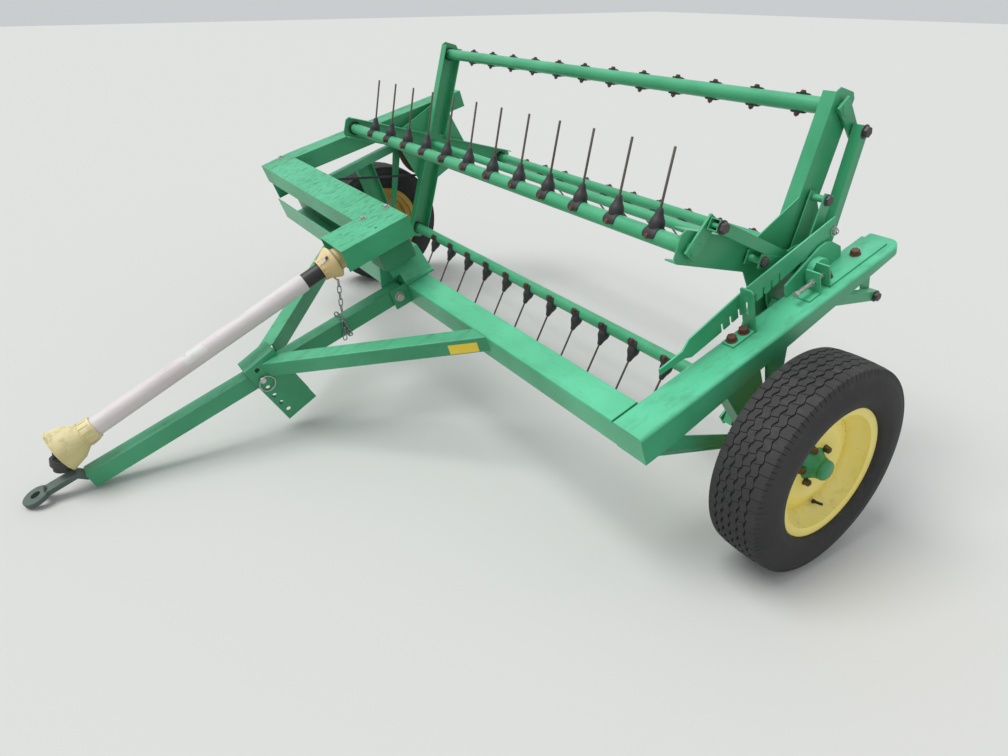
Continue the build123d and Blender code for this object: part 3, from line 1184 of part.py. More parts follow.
def build_nodes():
    """All named pieces, in the level machine's frame."""
    nodes = {}
    for word in WHEEL_X:
        nodes.update(make_wheel(word))
    nodes["front_beam"] = make_front_beam()
    nodes["side_beam_left"] = make_side_beam()
    nodes["cross_channel"] = make_cross_channel()
    nodes["side_rail_right"] = make_side_rail()
    nodes["wheel_leg_left"] = make_left_leg()
    nodes["leg_brace_left"] = make_leg_brace()
    nodes["wheel_leg_right"] = make_right_leg()
    nodes["drawbar_lug"] = make_lug()
    nodes["drawbar"] = make_drawbar()
    nodes["hitch_eye"] = make_eye()
    nodes["height_plates"] = make_height_plates()
    nodes["height_pin"] = make_height_pin()
    nodes["chain_turn"] = make_chain_turn()
    nodes["brace_left"] = make_left_brace()
    nodes["brace_right"] = make_right_brace()
    nodes["gearbox_mount"] = make_gearbox_mount()
    nodes["gearbox"] = make_gearbox()
    nodes["gearbox_cover"] = make_gearbox_cover()
    nodes["shaft_cover"] = make_shaft_cover()
    nodes["belt_guard"] = make_belt_guard()
    nodes["guard_stands"] = make_guard_stands()
    nodes["bearing_left"] = make_left_bearing()
    nodes["bearing_right"] = make_right_bearing()
    nodes["belt_adjuster"] = make_adjuster()
    nodes["pitch_lever"] = make_lever()
    nodes["lever_bracket"] = make_lever_bracket()
    nodes["v_belt"] = make_belt()
    nodes["drive_shaft"] = make_drive_shaft()
    nodes["drive_pulley"] = make_sheave(DRIVE_RADIUS, SHAFT_RADIUS, SHAFT_A, SHAFT_B)
    nodes["driven_pulley"] = make_sheave(DRIVEN_RADIUS, REEL_SHAFT_RADIUS, REEL_A, REEL_B)
    nodes["reel_shaft"] = make_reel_shaft()
    nodes["spider_right"] = make_spider(SPIDER_RIGHT, 1)
    nodes["spider_left"] = make_spider(SPIDER_LEFT, -1)
    for k, word in enumerate(BAR_NAMES):
        nodes["tine_bar_" + word] = make_bar(k)
        nodes["tines_" + word] = make_boots(k)
    nodes["cranks"] = group([make_stub_and_crank(k) for k in range(4)])
    nodes["links"] = group([make_link(k) for k in range(4)])
    nodes["eccentric_hub"] = make_eccentric()
    nodes["hub_stays"] = group([make_stay(k) for k in range(4)])
    nodes["cross_joint"] = make_cross_joint()
    nodes["rear_shield"] = make_rear_shield()
    nodes["chain_hang"] = make_hanging_chain()
    nodes["inner_tube"] = make_inner_tube()
    nodes["outer_tube"] = make_outer_tube()
    nodes["front_shield"] = make_front_shield()
    nodes["front_fork"] = make_front_fork()
    nodes["front_yoke"] = make_front_yoke()
    return nodes


level = build_nodes()
standing = Pos(0, 0, TYRE_RADIUS) * Rot(NOSE_DOWN, 0, 0) * Pos(0, -AXLE_A, -AXLE_B)
parked_nodes = {name: standing * shape for name, shape in level.items()}
boxes = [shape.bounding_box() for shape in parked_nodes.values()]
SHIFT_Y = -(min(box.min.Y for box in boxes) + max(box.max.Y for box in boxes)) / 2

os.makedirs("parts", exist_ok=True)
for name, shape in parked_nodes.items():
    export_step(Pos(0, SHIFT_Y, 0) * shape, "parts/" + name + ".step")
print("nose down", round(NOSE_DOWN, 3), "shift", round(SHIFT_Y, 3), "nodes", len(parked_nodes))
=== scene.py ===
import math

import bmesh
import bpy
from mathutils import Matrix, Vector
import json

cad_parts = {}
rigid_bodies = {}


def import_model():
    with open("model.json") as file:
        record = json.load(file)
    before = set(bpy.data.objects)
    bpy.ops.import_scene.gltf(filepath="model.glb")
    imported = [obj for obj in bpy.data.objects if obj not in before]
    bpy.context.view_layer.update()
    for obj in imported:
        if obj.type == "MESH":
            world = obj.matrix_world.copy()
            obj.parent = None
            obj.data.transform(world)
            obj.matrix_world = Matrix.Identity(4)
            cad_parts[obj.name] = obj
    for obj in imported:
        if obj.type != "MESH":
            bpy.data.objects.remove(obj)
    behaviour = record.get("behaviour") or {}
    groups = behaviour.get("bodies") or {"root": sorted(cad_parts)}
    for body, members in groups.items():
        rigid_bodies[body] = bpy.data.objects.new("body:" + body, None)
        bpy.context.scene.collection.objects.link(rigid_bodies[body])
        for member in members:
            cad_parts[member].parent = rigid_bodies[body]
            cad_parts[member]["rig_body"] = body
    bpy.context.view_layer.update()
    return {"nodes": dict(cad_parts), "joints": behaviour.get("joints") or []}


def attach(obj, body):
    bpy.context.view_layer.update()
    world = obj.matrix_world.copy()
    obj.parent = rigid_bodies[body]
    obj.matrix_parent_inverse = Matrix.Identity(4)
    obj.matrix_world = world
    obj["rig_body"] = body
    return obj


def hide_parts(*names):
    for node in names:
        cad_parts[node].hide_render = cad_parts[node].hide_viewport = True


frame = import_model()

# The yard: a plain pale floor under the parked machine, seen from its left front at about head
# height, in soft daylight from a bright open sky.
scene = bpy.context.scene
scene.view_settings.view_transform = "Standard"
eye_azimuth = math.radians(56.54)
eye_elevation = math.radians(28.345)
eye = bpy.data.objects.new("viewpoint", bpy.data.cameras.new("viewpoint"))
eye.location = (2.498, -1.744 + frame["joints"][0]["pos_m"][1], 1.5864)
eye.rotation_mode = "QUATERNION"
look = Vector((
    -math.sin(eye_azimuth) * math.cos(eye_elevation),
    math.cos(eye_azimuth) * math.cos(eye_elevation),
    -math.sin(eye_elevation),
))
eye.rotation_quaternion = look.to_track_quat("-Z", "Y")
eye.data.sensor_width = 36.0
eye.data.lens = 25.926
scene.collection.objects.link(eye)
scene.camera = eye

sky = bpy.data.worlds.new("open_sky")
sky.use_nodes = True
sky.node_tree.nodes["Background"].inputs["Color"].default_value = (0.95, 0.98, 1.0, 1)
sky.node_tree.nodes["Background"].inputs["Strength"].default_value = 0.62
scene.world = sky
sunlight = bpy.data.objects.new("soft_sun", bpy.data.lights.new("soft_sun", "SUN"))
sunlight.data.energy = 1.9
sunlight.data.angle = math.radians(35)
sunlight.rotation_euler = (math.radians(22), math.radians(-16), math.radians(10))
scene.collection.objects.link(sunlight)

floor_finish = bpy.data.materials.new("pale_floor")
floor_finish.use_nodes = True
tree = floor_finish.node_tree
tree.nodes["Principled BSDF"].inputs["Base Color"].default_value = (0.66, 0.66, 0.64, 1)
tree.nodes["Principled BSDF"].inputs["Roughness"].default_value = 0.95
floor_mesh = bmesh.new()
bmesh.ops.create_grid(floor_mesh, x_segments=2, y_segments=2, size=40)
floor_data = bpy.data.meshes.new("floor")
floor_mesh.to_mesh(floor_data)
floor_mesh.free()
floor_data.materials.append(floor_finish)
floor = bpy.data.objects.new("floor", floor_data)
floor.location = (0, 0, -0.0015)
scene.collection.objects.link(floor)

# The welded frame: a square front beam, a folded side beam at the left, an open channel to the right
# and a rail behind it, all sheet and tube steel, welded, then sprayed green in one coat.
# It was laid out level, and stands turned nose-down about its axle.
AXLE = (0.456, -0.340)
REEL = (0.837, 0.026)
joint = {each["name"]: each for each in frame["joints"]}
axle_line = Vector(joint["wheel_left_spin"]["pos_m"])
reel_line = Vector(joint["reel_spin"]["pos_m"])
nose_down = math.atan2(reel_line.z - axle_line.z, reel_line.y - axle_line.y) - math.atan2(
    REEL[1] - AXLE[1], REEL[0] - AXLE[0])
PARKED = (
    Matrix.Translation((0, axle_line.y, axle_line.z))
    @ Matrix.Rotation(nose_down, 4, "X")
    @ Matrix.Translation((0, -AXLE[0], -AXLE[1]))
)


def lay_node(tree, kind, sockets=None, **settings):
    """Adds a shader node, with its settings and with a value or a link for each named socket."""
    node = tree.nodes.new(kind)
    for name, value in settings.items():
        setattr(node, name, value)
    for name, value in (sockets or {}).items():
        if isinstance(value, bpy.types.NodeSocket):
            tree.links.new(value, node.inputs[name])
        else:
            node.inputs[name].default_value = value
    return node


def coloured_group(name, sockets, outputs):
    """A shader group with its named inputs and outputs, and the two nodes that hold them."""
    group = bpy.data.node_groups.new(name, "ShaderNodeTree")
    for label, kind, value in sockets:
        socket = group.interface.new_socket(label, in_out="INPUT", socket_type=kind)
        socket.default_value = value
    for label, kind in outputs:
        group.interface.new_socket(label, in_out="OUTPUT", socket_type=kind)
    return group, group.nodes.new("NodeGroupInput").outputs, group.nodes.new("NodeGroupOutput").inputs


def build_coat_wear_and_highlight():
    """Old coating: unevenly paled at random, lighter on upper faces as a painted sky highlight, streaked with grime
    on upper faces, and with chips that show rust.
    """
    group, given, result = coloured_group(
        "coat_wear_and_highlight",
        [
            ("Coat", "NodeSocketColor", (0.02, 0.2, 0.08, 1)),
            ("Faded And Highlight", "NodeSocketColor", (0.05, 0.3, 0.15, 1)),
            ("Grime", "NodeSocketColor", (0.03, 0.035, 0.03, 1)),
            ("Bare", "NodeSocketColor", (0.09, 0.04, 0.02, 1)),
            ("Grime Amount", "NodeSocketFloat", 0.3),
            ("Chip Amount", "NodeSocketFloat", 0.3),
            ("Gloss Roughness", "NodeSocketFloat", 0.4),
            ("Grain", "NodeSocketVector", (1, 1, 1)),
        ],
        [("Colour", "NodeSocketColor"), ("Roughness", "NodeSocketFloat"), ("Height", "NodeSocketFloat")],
    )
    place = lay_node(group, "ShaderNodeTexCoord").outputs["Object"]
    stretched = lay_node(group, "ShaderNodeVectorMath", {0: place, 1: given["Grain"]},
                         operation="MULTIPLY").outputs[0]
    cloud = lay_node(group, "ShaderNodeTexNoise", {"Vector": place, "Scale": 3.1, "Detail": 3.0}).outputs["Fac"]
    speck = lay_node(group, "ShaderNodeTexNoise", {"Vector": place, "Scale": 85.0, "Detail": 4.0}).outputs["Fac"]
    streak = lay_node(group, "ShaderNodeTexNoise",
                      {"Vector": stretched, "Scale": 30.0, "Detail": 7.0, "Roughness": 0.66}).outputs["Fac"]
    shade = lay_node(group, "ShaderNodeMapRange",
                     {"Value": cloud, "From Min": 0.36, "From Max": 0.66, "To Min": 0.0, "To Max": 1.0}).outputs[0]
    skyward = lay_node(group, "ShaderNodeSeparateXYZ",
                       {0: lay_node(group, "ShaderNodeNewGeometry").outputs["Normal"]}).outputs["Z"]
    # Upper faces: they take the grime streaks, and they are also lifted towards the paler colour as a painted sky
    # highlight.
    upper = lay_node(group, "ShaderNodeMapRange",
                     {"Value": skyward, "From Min": 0.1, "From Max": 0.85, "To Min": 0.22, "To Max": 1.0}).outputs[0]
    # Random paling from the cloud noise, plus the painted sky highlight: upper faces are painted lighter in place of
    # the sky's reflection.
    fade_and_sky_highlight = lay_node(group, "ShaderNodeMath", {0: shade, 1: 0.45, 2: -0.12}, operation="MULTIPLY_ADD").outputs[0]
    fade_and_sky_highlight = lay_node(group, "ShaderNodeMath", {0: upper, 1: 0.72, 2: fade_and_sky_highlight}, operation="MULTIPLY_ADD",
                      use_clamp=True).outputs[0]
    faded_and_highlit = lay_node(group, "ShaderNodeMix", {0: fade_and_sky_highlight, 6: given["Coat"], 7: given["Faded And Highlight"]},
                     data_type="RGBA").outputs[2]
    run = lay_node(group, "ShaderNodeMapRange",
                   {"Value": streak, "From Min": 0.50, "From Max": 0.80, "To Min": 0.0, "To Max": 1.0}).outputs[0]
    soiled = lay_node(group, "ShaderNodeMath", {0: run, 1: upper}, operation="MULTIPLY").outputs[0]
    soiled = lay_node(group, "ShaderNodeMath", {0: soiled, 1: given["Grime Amount"]}, operation="MULTIPLY",
                      use_clamp=True).outputs[0]
    dirty = lay_node(group, "ShaderNodeMix", {0: soiled, 6: faded_and_highlit, 7: given["Grime"]}, data_type="RGBA").outputs[2]
    rounded = lay_node(group, "ShaderNodeBevel", {"Radius": 0.004}, samples=4).outputs["Normal"]
    flat = lay_node(group, "ShaderNodeNewGeometry").outputs["Normal"]
    same = lay_node(group, "ShaderNodeVectorMath", {0: rounded, 1: flat}, operation="DOT_PRODUCT").outputs["Value"]
    edge = lay_node(group, "ShaderNodeMapRange",
                    {"Value": same, "From Min": 0.985, "From Max": 0.80, "To Min": 0.0, "To Max": 0.17}).outputs[0]
    flake = lay_node(group, "ShaderNodeTexNoise", {"Vector": place, "Scale": 34.0, "Detail": 5.0,
                                                   "Roughness": 0.7}).outputs["Fac"]
    worn = lay_node(group, "ShaderNodeMath", {0: flake, 1: edge}, operation="ADD").outputs[0]
    chip = lay_node(group, "ShaderNodeMapRange",
                    {"Value": worn, "From Min": 0.69, "From Max": 0.73, "To Min": 0.0, "To Max": 1.0}).outputs[0]
    chip = lay_node(group, "ShaderNodeMath", {0: chip, 1: given["Chip Amount"]}, operation="MULTIPLY",
                    use_clamp=True).outputs[0]
    shown = lay_node(group, "ShaderNodeMix", {0: chip, 6: dirty, 7: given["Bare"]}, data_type="RGBA").outputs[2]
    rough = lay_node(group, "ShaderNodeMath", {0: soiled, 1: 0.35, 2: given["Gloss Roughness"]},
                     operation="MULTIPLY_ADD").outputs[0]
    rough = lay_node(group, "ShaderNodeMath", {0: chip, 1: 0.4, 2: rough}, operation="MULTIPLY_ADD",
                     use_clamp=True).outputs[0]
    height = lay_node(group, "ShaderNodeMath", {0: speck, 1: 0.25, 2: 0.4}, operation="MULTIPLY_ADD").outputs[0]
    height = lay_node(group, "ShaderNodeMath", {0: chip, 1: -0.5, 2: height}, operation="MULTIPLY_ADD").outputs[0]
    group.links.new(shown, result["Colour"])
    group.links.new(rough, result["Roughness"])
    group.links.new(height, result["Height"])
    return group


coat_wear_and_highlight = build_coat_wear_and_highlight()


def coated(name, coat, faded_and_highlit, grime=0.3, chips=0.3, rough=0.4, grain=(1, 1, 1), bare=(0.09, 0.04, 0.02),
           soil=(0.03, 0.035, 0.03), metal=0.0, bump=0.25, coat_weight=0.0):
    """A finish made of the worn coat with its painted sky highlight, for paint, plating, rubber or plastic; its
    second colour is both the paler worn paint and the painted highlight on upper faces.
    """
    finish = bpy.data.materials.new(name)
    finish.use_nodes = True
    tree = finish.node_tree
    surface = tree.nodes["Principled BSDF"]
    layer = lay_node(tree, "ShaderNodeGroup", node_tree=coat_wear_and_highlight)
    layer.inputs["Coat"].default_value = (*coat, 1)
    layer.inputs["Faded And Highlight"].default_value = (*faded_and_highlit, 1)
    layer.inputs["Grime"].default_value = (*soil, 1)
    layer.inputs["Bare"].default_value = (*bare, 1)
    layer.inputs["Grime Amount"].default_value = grime
    layer.inputs["Chip Amount"].default_value = chips
    layer.inputs["Gloss Roughness"].default_value = rough
    layer.inputs["Grain"].default_value = grain
    tree.links.new(layer.outputs["Colour"], surface.inputs["Base Color"])
    tree.links.new(layer.outputs["Roughness"], surface.inputs["Roughness"])
    raised = lay_node(tree, "ShaderNodeBump", {"Height": layer.outputs["Height"], "Strength": bump,
                                               "Distance": 0.002})
    tree.links.new(raised.outputs["Normal"], surface.inputs["Normal"])
    surface.inputs["Metallic"].default_value = metal
    surface.inputs["Coat Weight"].default_value = coat_weight
    return finish


def smooth_by_angle(mesh, degrees=32):
    """Smooth faces, with every edge that turns more than this left crisp."""
    limit = math.radians(degrees)
    for face in mesh.faces:
        face.smooth = True
    for edge in mesh.edges:
        edge.smooth = len(edge.link_faces) == 2 and edge.calc_face_angle(0) < limit


def place_piece(mesh, name, finish, body, nodes=(), bevel=0.0, parked=True, angle=32, recalc=True):
    """Turns a bmesh into a finished piece, parked with the machine, that rides on its body."""
    if parked:
        bmesh.ops.transform(mesh, matrix=PARKED, verts=mesh.verts)
    if recalc:
        bmesh.ops.recalc_face_normals(mesh, faces=mesh.faces)
    smooth_by_angle(mesh, angle)
    data = bpy.data.meshes.new(name)
    mesh.to_mesh(data)
    mesh.free()
    data.materials.append(finish)
    piece = bpy.data.objects.new(name, data)
    scene.collection.objects.link(piece)
    if bevel > 0:
        rounding = piece.modifiers.new("rounded_edges", "BEVEL")
        rounding.width = bevel
        rounding.segments = 2
        rounding.limit_method = "ANGLE"
        rounding.angle_limit = math.radians(35)
        rounding.harden_normals = True
    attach(piece, body)
    if nodes:
        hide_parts(*nodes)
    return piece


def finish_node(node, finish, bevel=0.0012, angle=32):
    """The real form of a frame node: its skin joined up, with rounded edges and its finish."""
    source = frame["nodes"][node]
    mesh = bmesh.new()
    mesh.from_mesh(source.data)
    bmesh.ops.remove_doubles(mesh, verts=mesh.verts, dist=0.00002)
    bmesh.ops.dissolve_limit(mesh, angle_limit=math.radians(0.6), verts=mesh.verts, edges=mesh.edges)
    return place_piece(mesh, node + "_made", finish, source["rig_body"], (node,), bevel, parked=False,
                       angle=angle, recalc=False)


# Each finish's second colour is kept bright, so that upper faces take a painted sky highlight.
beam_green = coated("beam_green", (0.040, 0.33, 0.150), (0.125, 0.62, 0.350), grime=0.25, chips=0.3, rough=0.34,
                    grain=(0.25, 1, 1))
for node in ("front_beam", "cross_channel"):
    finish_node(node, beam_green, bevel=0.0006 if node == "front_beam" else 0.0015)
side_green = coated("side_green", (0.036, 0.31, 0.135), (0.130, 0.64, 0.370), grime=0.4, chips=0.3, rough=0.34,
                    grain=(1, 0.25, 1))
for node in ("side_beam_left", "side_rail_right"):
    finish_node(node, side_green, bevel=0.0006)

# The wheel legs: welded plates and an angle brace under the left side beam, a folded post and a flat
# strap under the right rail. Each ends in a boss that holds the stub spindle.
frame_green = coated("frame_green", (0.032, 0.30, 0.130), (0.105, 0.55, 0.300), grime=0.35, chips=0.35, rough=0.36)
for node in ("wheel_leg_left", "leg_brace_left", "wheel_leg_right"):
    finish_node(node, frame_green)

# The wheels: a pressed steel rim in pale yellow, a green hub with five lug nuts and a domed cap, and
# a worn radial tyre with a blocky tread. They come off a road vehicle and turn on plain spindles.
WHEEL_AT = {"left": (joint["wheel_left_spin"]["pos_m"][0], 1), "right": (joint["wheel_right_spin"]["pos_m"][0], -1)}
TREAD_PITCHES = 56
TREAD_STEPS = (0.0, 0.035, 0.07, 0.28, 0.5, 0.535, 0.57, 0.78)
GROOVES = (-0.052, -0.0265, 0.0, 0.0265, 0.052)
GROOVE_DEPTH = 0.0050
LUG_NUTS = 5
LUG_CIRCLE = 0.060
RIM_WALL = [
    (-0.0760, 0.2125), (-0.0745, 0.2132), (-0.0728, 0.2115), (-0.0732, 0.1945), (-0.0700, 0.1908), (-0.0520, 0.1890),
    (-0.0400, 0.1690), (-0.0280, 0.1645), (0.0100, 0.1645), (0.0260, 0.1700), (0.0480, 0.1890), (0.0690, 0.1908),
    (0.0722, 0.1945), (0.0716, 0.2115), (0.0740, 0.2140), (0.0768, 0.2125), (0.0760, 0.1920), (0.0725, 0.1870),
    (0.0500, 0.1850), (0.0285, 0.1665), (0.0110, 0.1610), (-0.0290, 0.1610), (-0.0420, 0.1650), (-0.0540, 0.1852),
    (-0.0725, 0.1870), (-0.0760, 0.1920),
]
RIM_DISC = [
    (0.0125, 0.0320), (0.0125, 0.0780), (0.0160, 0.0960), (0.0220, 0.1100), (0.0215, 0.1180), (0.0170, 0.1330),
    (0.0150, 0.1450), (0.0130, 0.1468), (0.0138, 0.1485), (0.0060, 0.1640), (0.0015, 0.1640), (0.0090, 0.1470),
    (0.0170, 0.1140), (0.0110, 0.0960), (0.0075, 0.0780), (0.0075, 0.0320),
]
HUB_BELL = [
    (0.0128, 0.0), (0.0128, 0.0530), (0.0150, 0.0505), (0.0200, 0.0465), (0.0270, 0.0415), (0.0360, 0.0370),
    (0.0450, 0.0340), (0.0500, 0.0330), (0.0508, 0.0312), (0.0518, 0.0312), (0.0526, 0.0328), (0.0600, 0.0322),
    (0.0655, 0.0290), (0.0690, 0.0220), (0.0708, 0.0120), (0.0712, 0.0),
]


def turn_profile(mesh, profile, centre, axis=(1, 0, 0), steps=48, closed=True, angle=math.tau):
    """Lathe work: (along, radius) points turned about an axis through a centre."""
    line = Vector(axis).normalized()
    out = line.orthogonal().normalized()
    ring = [mesh.verts.new(Vector(centre) + line * along + out * radius) for along, radius in profile]
    pairs = list(zip(ring, ring[1:])) + ([(ring[-1], ring[0])] if closed else [])
    edges = [mesh.edges.new(pair) for pair in pairs]
    bmesh.ops.spin(mesh, geom=ring + edges, cent=centre, axis=line, angle=angle, steps=steps,
                   use_merge=angle == math.tau)
    if not closed:
        bmesh.ops.remove_doubles(mesh, verts=mesh.verts, dist=0.000001)


def facing(spot, axis, turn=0.0):
    """Place for a shape drawn upright: its foot on a spot, its top towards the axis."""
    aim = Vector(axis).normalized().to_track_quat("Z", "X").to_matrix().to_4x4()
    return Matrix.Translation(spot) @ aim @ Matrix.Rotation(turn, 4, "Z")


def add_disc(mesh, spot, axis, radius, height, sides=20, tip=1.0, turn=0.0):
    """A round or many-sided boss on a spot, with its far rim a little smaller where tip is under 1."""
    place = facing(spot, axis, turn) @ Matrix.Translation((0, 0, height / 2))
    bmesh.ops.create_cone(mesh, cap_ends=True, segments=sides, radius1=radius, radius2=radius * tip, depth=height,
                          matrix=place)


def add_bolt(mesh, spot, axis, across, height, washer=0.0, thread=0.0, turn=0.0):
    """A six-sided head or nut with its corners turned off, on its washer, with the thread past it."""
    line = Vector(axis).normalized()
    spot = Vector(spot)
    if washer > 0:
        add_disc(mesh, spot, line, washer, 0.0028, 24)
        spot = spot + line * 0.0028
    corner = across / math.sqrt(3)
    add_disc(mesh, spot, line, corner, height * 0.82, 6, 1.0, turn)
    add_disc(mesh, spot + line * height * 0.82, line, corner, height * 0.18, 6, 0.86, turn)
    if thread > 0:
        add_disc(mesh, spot + line * height, line, across * 0.29, thread, 12, 0.9)


def crown(across):
    """Radius of the tread's surface at a distance from the tyre's middle."""
    return 0.3400 - 0.8 * across * across


def tyre_profile():
    """Closed outline of the tyre: tread with its grooves, right wall, liner, left wall."""
    tread = [(-0.0790, crown(0.079) - 0.0006)]
    for groove in GROOVES:
        top = crown(groove)
        tread += [(groove - 0.0026, top), (groove - 0.0015, top - GROOVE_DEPTH),
                  (groove + 0.0015, top - GROOVE_DEPTH), (groove + 0.0026, top)]
    tread += [(0.0790, crown(0.079) - 0.0006)]
    wall = [(0.0822, 0.3325), (0.0842, 0.3280), (0.0860, 0.3215), (0.0890, 0.3150), (0.0925, 0.3060),
            (0.0962, 0.2980), (0.0966, 0.2950), (0.0985, 0.2880), (0.1010, 0.2740), (0.1022, 0.2600),
            (0.1015, 0.2450), (0.1000, 0.2420), (0.0975, 0.2310), (0.0925, 0.2210), (0.0860, 0.2160),
            (0.0800, 0.2150), (0.0712, 0.2120), (0.0705, 0.1950), (0.0670, 0.1915)]
    liner = [(0.0560, 0.1960), (0.0640, 0.2200), (0.0840, 0.2500), (0.0820, 0.2900), (0.0640, 0.3180), (0.0, 0.3250)]
    mirrored = [(-across, radius) for across, radius in reversed(wall + liner[:-1])]
    return tread + wall + liner + mirrored


def cut_tread(mesh, middle):
    """Works the spun tyre into blocks: wavy grooves, a cut across each block and notched shoulders."""
    for vert in mesh.verts:
        across = vert.co.x - middle
        out = Vector((0, vert.co.y - AXLE[0], vert.co.z - AXLE[1]))
        radius = out.length
        step = round(math.atan2(out.z, out.y) / math.tau * TREAD_PITCHES * len(TREAD_STEPS))
        pitch, place = divmod(step, len(TREAD_STEPS))
        turn = pitch + TREAD_STEPS[place]
        rib = sum(groove < across for groove in GROOVES)
        cut = place == (1 if rib % 2 else 5)
        if radius > 0.3265 and abs(across) < 0.0795:
            skew = 0.16 * math.sin(across / 0.0265 * math.tau)
            fade = 1 - (across / 0.080) ** 4
            vert.co.x += 0.0042 * fade * math.sin(math.tau * turn)
            turn += skew * fade
            if cut and abs(radius - crown(across)) < 0.002:
                radius -= 0.0036
        elif radius > 0.3205 and abs(across) > 0.0795 and place in (1, 5):
            radius -= 0.0030
            vert.co.x -= math.copysign(0.0026, across)
        angle = turn / TREAD_PITCHES * math.tau
        vert.co.y = AXLE[0] + radius * math.cos(angle)
        vert.co.z = AXLE[1] + radius * math.sin(angle)


hub_green = coated("hub_green", (0.020, 0.25, 0.100), (0.070, 0.40, 0.190), grime=0.4, chips=0.35, rough=0.3)
rim_yellow = coated("rim_yellow", (0.95, 0.78, 0.17), (1.0, 0.90, 0.38), grime=0.35, chips=0.5, rough=0.42,
                    bare=(0.16, 0.07, 0.03), soil=(0.26, 0.17, 0.06))
rim_rusty = coated("rim_rusty", (0.62, 0.36, 0.07), (0.74, 0.50, 0.14), grime=0.6, chips=0.8, rough=0.5,
                   bare=(0.16, 0.07, 0.03), soil=(0.20, 0.10, 0.04))
tyre_black = coated("tyre_black", (0.020, 0.020, 0.021), (0.046, 0.045, 0.044), grime=0.6, chips=0.0, rough=0.8,
                    soil=(0.12, 0.115, 0.11))
nut_brown = coated("nut_brown", (0.10, 0.065, 0.035), (0.20, 0.15, 0.08), grime=0.4, chips=0.4, rough=0.55, metal=0.5)
valve_black = coated("valve_black", (0.016, 0.016, 0.016), (0.03, 0.03, 0.03), grime=0.3, chips=0.0, rough=0.6)
for word, (middle, outward) in WHEEL_AT.items():
    body = "wheel_" + word
    centre = (middle, *AXLE)
    facing_out = (outward, 0, 0)
    finish_node("hub_" + word, hub_green)
    bell = bmesh.new()
    turn_profile(bell, HUB_BELL, centre, facing_out, 56, closed=False)
    place_piece(bell, "hub_cap_" + word, hub_green, body, angle=40)
    rim = bmesh.new()
    turn_profile(rim, RIM_WALL, centre, facing_out, 96)
    turn_profile(rim, RIM_DISC, centre, facing_out, 96)
    place_piece(rim, "rim_pressing_" + word, rim_yellow if word == "left" else rim_rusty, body,
                ("rim_" + word,), angle=40)
    nuts = bmesh.new()
    for k in range(LUG_NUTS):
        angle = math.radians(90 + 360 / LUG_NUTS * k)
        spot = (middle + outward * 0.0125, AXLE[0] + LUG_CIRCLE * math.cos(angle),
                AXLE[1] + LUG_CIRCLE * math.sin(angle))
        add_bolt(nuts, spot, facing_out, 0.0205, 0.0148, washer=0.0125, thread=0.003)
    place_piece(nuts, "lug_nuts_" + word, nut_brown, body, bevel=0.0006)
    valve = bmesh.new()
    root = Vector((middle + outward * 0.020, AXLE[0] - 0.010, AXLE[1] - 0.158))
    add_disc(valve, root, (outward, 0, 0.30), 0.0075, 0.010, 16, 0.7)
    add_disc(valve, root + Vector((outward * 0.009, 0, 0.0027)), (outward, 0, 0.30), 0.0048, 0.026, 14, 0.9)
    place_piece(valve, "valve_" + word, valve_black, body, bevel=0.0005)
    tyre = bmesh.new()
    turn_profile(tyre, tyre_profile(), centre, (1, 0, 0), TREAD_PITCHES * len(TREAD_STEPS))
    cut_tread(tyre, middle)
    place_piece(tyre, "tyre_carcass_" + word, tyre_black, body, ("tyre_" + word,), angle=30)

# The drawbar: square tube on a pivot bolt, with a cranked flat bar and ring welded in its mouth for the
# hitch, held at one of six heights by a pin through two plates. Two braces tie them to the frame.
bar_green = coated("bar_green", (0.026, 0.26, 0.115), (0.085, 0.46, 0.240), grime=0.5, chips=0.45, rough=0.38,
                   grain=(1, 0.3, 0.8))
for node in ("drawbar", "drawbar_lug", "height_plates", "brace_left", "brace_right"):
    finish_node(node, bar_green, bevel=0.0008)


def cut_plate(mesh, place, outline, holes, thickness):
    """Sheet cut to an outline with holes, both in the place's own plane, as thick as its third axis says."""
    made = []
    for loop in [outline] + list(holes):
        ring = [mesh.verts.new(place @ Vector((*point, 0))) for point in loop]
        made += [mesh.edges.new(pair) for pair in zip(ring, ring[1:] + ring[:1])]
    filled = bmesh.ops.triangle_fill(mesh, use_beauty=True, use_dissolve=False, edges=made)["geom"]
    sheet = [item for item in filled if isinstance(item, bmesh.types.BMFace)]
    grown = bmesh.ops.extrude_face_region(mesh, geom=sheet)["geom"]
    raised = [item for item in grown if isinstance(item, bmesh.types.BMVert)]
    bmesh.ops.translate(mesh, verts=raised, vec=place.to_3x3() @ Vector((0, 0, thickness)))


def round_wire(wire, radius):
    """Outline of a ring bent from round wire."""
    return [(wire * math.cos(t), radius + wire * math.sin(t)) for t in [math.tau * n / 8 for n in range(8)]]


DRAWBAR_AT = (-0.085, -0.047, -0.028)
BAR_DROOP = math.radians(0.76)
EYE_BAR_WIDTH = 0.050
EYE_CENTRE = (1.475, 0.04125)
EYE_BAR = [
    (1.200, 0.0070), (1.314, 0.0070), (1.336, 0.03175), (1.446, 0.03175), (1.446, 0.05075), (1.330, 0.05075),
    (1.308, 0.0260), (1.200, 0.0260),
]
EYE_RING = [
    (-0.0095, 0.0167), (-0.0095, 0.0445), (-0.0070, 0.0470), (0.0070, 0.0470), (0.0095, 0.0445), (0.0095, 0.0167),
]
ring_steel = coated("ring_steel", (0.05, 0.09, 0.075), (0.11, 0.15, 0.13), grime=0.5, chips=0.7, rough=0.55)
hitch = bmesh.new()
along_bar = Vector((0, -math.cos(BAR_DROOP), -math.sin(BAR_DROOP)))
above_bar = Vector((0, -math.sin(BAR_DROOP), math.cos(BAR_DROOP)))
bar_side = Matrix((along_bar, above_bar, Vector((1, 0, 0)))).transposed().to_4x4()
